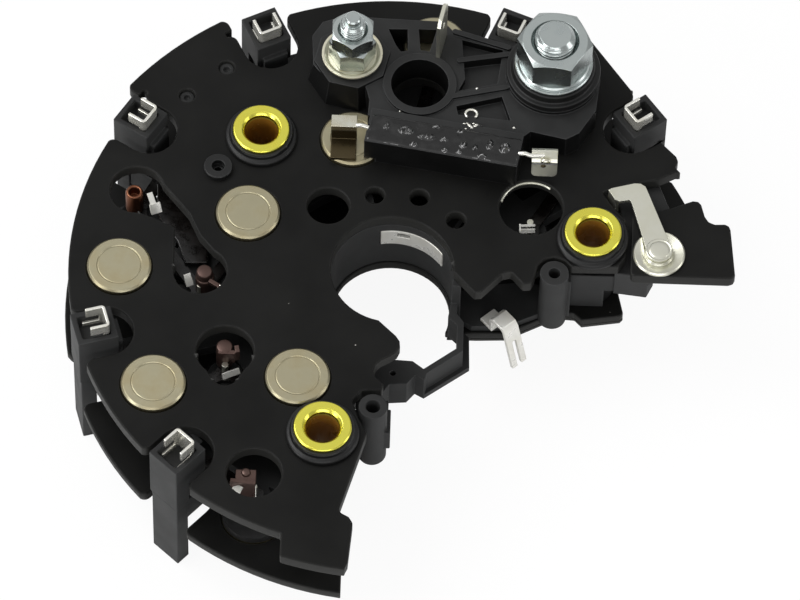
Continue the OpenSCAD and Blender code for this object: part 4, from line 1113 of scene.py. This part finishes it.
class MESH_OT_rectifier_block(RectifierOperator):
    """Terminal block with its insulating disc, a wire eye, solder specks and crumbs of resin"""
    bl_idname = "mesh.rectifier_block"
    bl_label = "Terminal block"

    def solder(self, top):
        bm = bmesh.new()
        x, y = EYE_CENTRE
        angles = [math.radians(d) for d in EYE_ANGLES]
        eye = [(x + EYE_RADII[0] * math.cos(a), y + EYE_RADII[1] * math.sin(a), top - 0.5) for a in angles]
        tube(bm, eye, EYE_WIRE, 10)
        noise.seed_set(5)
        for i in range(SMALL_DROPS):
            a = noise.random_unit_vector()
            at = (13.3 + i * 0.3, 29.4 + 0.7 * a.z, top + 0.05)
            ball(bm, at, 0.16 + 0.12 * abs(a.x), (1.0 + abs(a.y), 0.8, 0.7))
        for x, y, radius in SPECKS:
            ball(bm, (x, y, top - 0.9), radius)
        add_piece("solder_specks", bm, "solder")

    def crumbs(self, top):
        bm = bmesh.new()
        noise.seed_set(3)
        for i in range(CRUMBS):
            a = noise.random_unit_vector()
            made = bmesh.ops.create_icosphere(bm, subdivisions=3, radius=0.35 + 0.35 * abs(a.x))
            for v in made["verts"]:
                v.co *= 1.0 + 0.5 * noise.noise(v.co * 2.2 + a * 9)
                v.co.z *= 0.6
            at = (12.6 + i * 0.27, 29.2 + 0.9 * a.y, top - 0.5)
            bmesh.ops.translate(bm, vec=at, verts=made["verts"])
        add_piece("resin_crumbs", bm, "resin", (), 70)

    def execute(self, context):
        dress(["terminal_block"], "block_plastic")
        dress(["insulating_disc"], "insulator_plastic", self.sizes().moulded_edge)
        top = in_mm(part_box("terminal_block"))[1].z
        self.solder(top)
        self.crumbs(top)
        return {"FINISHED"}


class MESH_OT_rectifier_potting(RectifierOperator):
    """Lumpy black resin in the trough with the two leads of the capacitor"""
    bl_idname = "mesh.rectifier_potting"
    bl_label = "Potting"

    def height(self, u, v, base, lumps):
        """Height of the resin: a slow swell, a fall towards the rim and the lumps."""
        z = base - 0.12 + 0.16 * noise.fractal(Vector((u * 0.3, v * 0.4, 3.1)), 0.8, 2.1, 3)
        z -= 0.6 * max(0.0, abs(v) - POTTING_WIDTH / 2 + 0.7) ** 2
        z -= 0.6 * max(0.0, abs(u) - POTTING_LENGTH / 2 + 0.7) ** 2
        for lump in lumps:
            d = ((u - lump.u) / lump.half_length) ** 2 + ((v - lump.v) / lump.half_width) ** 2
            wobble = 1.1 + 0.9 * noise.noise(Vector((u * 2.4, v * 2.6, lump.u)))
            z += 1.25 * lump.height * wobble * max(0.0, 1.0 - d) ** 0.6
        return z

    def body(self, place, base):
        bm = bmesh.new()
        foot = in_mm(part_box("capacitor"))[0].z
        lumps = LUMPS[:self.sizes().resin_lumps]
        noise.seed_set(7)
        grid = []
        for i in range(POTTING_COLUMNS + 1):
            u = POTTING_LENGTH * (i / POTTING_COLUMNS - 0.5)
            line = []
            for j in range(POTTING_ROWS + 1):
                v = POTTING_WIDTH * (j / POTTING_ROWS - 0.5)
                line.append(bm.verts.new((u, v, self.height(u, v, base, lumps))))
            grid.append(line)
        for a, b in zip(grid, grid[1:]):
            for j in range(POTTING_ROWS):
                bm.faces.new((a[j], b[j], b[j + 1], a[j + 1]))
        near, far = [line[0] for line in grid], [line[-1] for line in grid]
        border = near + grid[-1][1:] + far[-2::-1] + grid[0][-2:0:-1]
        floor = [bm.verts.new((v.co.x * 0.94, v.co.y * 0.76, foot)) for v in border]
        for k in range(len(border)):
            n = (k + 1) % len(border)
            bm.faces.new((border[k], floor[k], floor[n], border[n]))
        bm.faces.new(floor)
        bmesh.ops.transform(bm, matrix=place, verts=bm.verts)
        add_piece("potted_body", bm, "resin", ["capacitor"], 60)

    def leads(self, place, base):
        bm = bmesh.new()
        end = POTTING_LENGTH / 2
        for side in (-1, 1):
            line = [(end - 1.5, 0, base - 1.3), (end - 0.2, 0, base - 0.8), (end + 1.2, 0.1, base - 0.5),
                    (end + 2.4, 0.1, base - 0.8)]
            if side > 0:
                line.append((end + 5.0, 0.75, base - 0.9))
            path = [place @ Vector((x * side, y, z)) for x, y, z in line]
            tube(bm, curve_points(path), 0.45)
        add_piece("capacitor_leads", bm, "solder")

    def execute(self, context):
        base = in_mm(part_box("terminal_block"))[1].z + POTTING_RISE
        turn = Matrix.Rotation(math.radians(TROUGH_TURN), 4, "Z")
        place = Matrix.Translation(axis_of("capacitor")) @ turn
        self.body(place, base)
        self.leads(place, base)
        return {"FINISHED"}


class MESH_OT_rectifier_studs(RectifierOperator):
    """Threaded studs with their nuts and washers"""
    bl_idname = "mesh.rectifier_studs"
    bl_label = "Studs and nuts"

    def zinc_piece(self, name, bm, replaces, sharp=38.0):
        add_piece(name, bm, "zinc", [replaces], sharp)

    def washer(self):
        low, high = in_mm(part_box("large_washer"))
        r = (high.x - low.x) / 2
        bore = 4.03
        profile = [
            (bore, 0), (r - 0.2, 0), (r, 0.2), (r, 0.6), (r - 0.25, 0.8), (r - 0.5, 0.8),
            (r - 0.55, 0.85), (r - 0.55, 1.2), (r - 0.85, 1.6), (bore, 1.6)]
        bm = bmesh.new()
        lathe(bm, profile, axis_of("large_washer", low.z), 96)
        self.zinc_piece("large_washer_turned", bm, "large_washer", 28)

    def large_stud(self):
        """Threaded stud on a round head that sits in the heat sink."""
        low, high = in_mm(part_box("large_stud"))
        foot, top = low.z, high.z
        head = foot + 4.2
        at = axis_of("large_stud")
        bm = bmesh.new()
        threaded_rod(bm, at, 4.0, 0.62, self.sizes().large_pitch / MM, head, top, 0.9)
        lathe(bm, [(0, foot), (6.8, foot), (7.0, foot + 0.2), (7.0, head), (0, head)], at)
        self.zinc_piece("large_stud_threaded", bm, "large_stud")

    def small_stud(self):
        """Threaded stud with a plain round tip."""
        low, high = in_mm(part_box("small_stud"))
        foot, top = low.z, high.z
        at = axis_of("small_stud")
        bm = bmesh.new()
        threaded_rod(bm, at, 2.5, 0.42, self.sizes().small_pitch / MM, foot, top - 1.6, 0.5, 40)
        tip = [(0, top - 1.8), (1.6, top - 1.8), (1.6, top - 0.3), (1.3, top), (0, top)]
        lathe(bm, tip, at, 40)
        self.zinc_piece("small_stud_threaded", bm, "small_stud")

    def nut(self, name, stud, across, bore, turn):
        low, high = in_mm(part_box(name))
        bm = bmesh.new()
        hex_nut(bm, axis_of(stud), across, low.z, high.z, bore, math.radians(turn))
        self.zinc_piece(f"{name}_turned", bm, name, 28)

    def execute(self, context):
        self.washer()
        dress(["dished_washer"], "dished", self.sizes().metal_edge * 0.5)
        self.large_stud()
        self.nut("large_nut", "large_stud", 13.0, 8.1, -4)
        self.small_stud()
        self.nut("small_nut", "small_stud", 8.0, 5.1, 30)
        self.nut("lower_nut", "small_stud", 8.0, 5.1, 0)
        return {"FINISHED"}


class MESH_OT_rectifier_straps(RectifierOperator):
    """Tinned straps, tabs, blade and contacts"""
    bl_idname = "mesh.rectifier_straps"
    bl_label = "Straps and tabs"

    def folded_tab(self):
        """Leaning sheet with a crease in the middle and two rounded corners at its foot."""
        outline = ribbon_outline(round_path(TAB_LINE, 0.25), TAB_SHEET)
        upright = Matrix(((0, 0, 1, TAB_X - TAB_WIDTH / 2), (1, 0, 0, 0), (0, 1, 0, 0), (0, 0, 0, 1)))
        bm = bmesh.new()
        prism(bm, outline, 0, TAB_WIDTH, upright)
        foot = TAB_LINE[0][1] + 0.6
        corners = [
            e for e in bm.edges
            if max(v.co.z for v in e.verts) < foot and abs(e.calc_length() - TAB_SHEET) < 0.2]
        bmesh.ops.bevel(bm, geom=corners, offset=TAB_CORNER, segments=5, affect="EDGES", profile=0.5)
        piece = add_piece("folded_tab", bm, "tin", ["capacitor_tab_2"])
        round_edges(piece, 0.3 * MM, 3, 50)

    def tab_joint(self):
        """Solder that holds the lead on the folded tab, and a dark slab across its crease that is painted
        shade.
        """
        bm = bmesh.new()
        for x, y, z, radius in TAB_SOLDER:
            ball(bm, (x, y, z), radius, (1.1, 0.6, 0.7), 3)
        add_piece("tab_joint", bm, "tarnished")
        # Painted shade: a dark varnished slab laid across the crease of the tab
        bm = bmesh.new()
        slab(bm, Vector((TAB_X, 22.5, 37.35)), (TAB_WIDTH - 0.1, 0.3, 0.7), 0, 45)
        round_edges(add_piece("tab_crease_shade", bm, "varnish"), 0.1 * MM)

    def rivet(self):
        """Low rivet head on the round end of the link strap."""
        at = axis_of("auxiliary_diode", in_mm(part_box("link_strap"))[1].z)
        profile = [
            (0, -0.4), (2.6, -0.4), (2.6, 0.1), (2.45, 0.18), (2.3, 0.08), (2.05, 0.08), (1.9, 0.22),
            (1.7, 0.26), (1.2, 0.3), (0, 0.3)]
        bm = bmesh.new()
        lathe(bm, profile, at, 64)
        add_piece("strap_rivet", bm, "tin")

    def execute(self, context):
        edge = self.sizes().metal_edge
        dress(["blade_terminal"], "tin", edge)
        dress(["collar_contact", "fork_terminal"], "pale_tin", edge)
        dress(["capacitor_tab_1"], "tarnished", edge)
        dress(["link_strap"], "tin")
        self.folded_tab()
        self.tab_joint()
        self.rivet()
        return {"FINISHED"}


class VIEW3D_PT_rectifier(bpy.types.Panel):
    """Sizes, colours and steps of the rectifier"""
    bl_label = "Rectifier"
    bl_idname = "VIEW3D_PT_rectifier"
    bl_space_type = "VIEW_3D"
    bl_region_type = "UI"
    bl_category = "Rectifier"

    def draw(self, context):
        layout = self.layout
        for group in (context.scene.rectifier_sizes, context.scene.rectifier_colours):
            box = layout.box()
            for key in group.bl_rna.properties.keys():
                if key not in ("rna_type", "name"):
                    box.prop(group, key)
        for step in STEPS:
            layout.operator(step.bl_idname)


STEPS = (
    SCENE_OT_rectifier_stage,
    MESH_OT_rectifier_heat_sinks,
    MESH_OT_rectifier_frame,
    MESH_OT_rectifier_diodes,
    MESH_OT_rectifier_joints,
    MESH_OT_rectifier_bushings,
    MESH_OT_rectifier_clips,
    MESH_OT_rectifier_block,
    MESH_OT_rectifier_potting,
    MESH_OT_rectifier_studs,
    MESH_OT_rectifier_straps,
)
CLASSES = (RectifierSizes, RectifierColours) + STEPS + (VIEW3D_PT_rectifier,)


def register():
    """Makes the classes and the two groups of settings known."""
    for c in CLASSES:
        bpy.utils.register_class(c)
    bpy.types.Scene.rectifier_sizes = PointerProperty(type=RectifierSizes)
    bpy.types.Scene.rectifier_colours = PointerProperty(type=RectifierColours)


def unregister():
    """Takes back what register did."""
    del bpy.types.Scene.rectifier_colours
    del bpy.types.Scene.rectifier_sizes
    for c in reversed(CLASSES):
        bpy.utils.unregister_class(c)


def main():
    """Runs every step in order."""
    register()
    for step in STEPS:
        group, name = step.bl_idname.split(".")
        getattr(getattr(bpy.ops, group), name)()


if __name__ == "__main__":
    main()
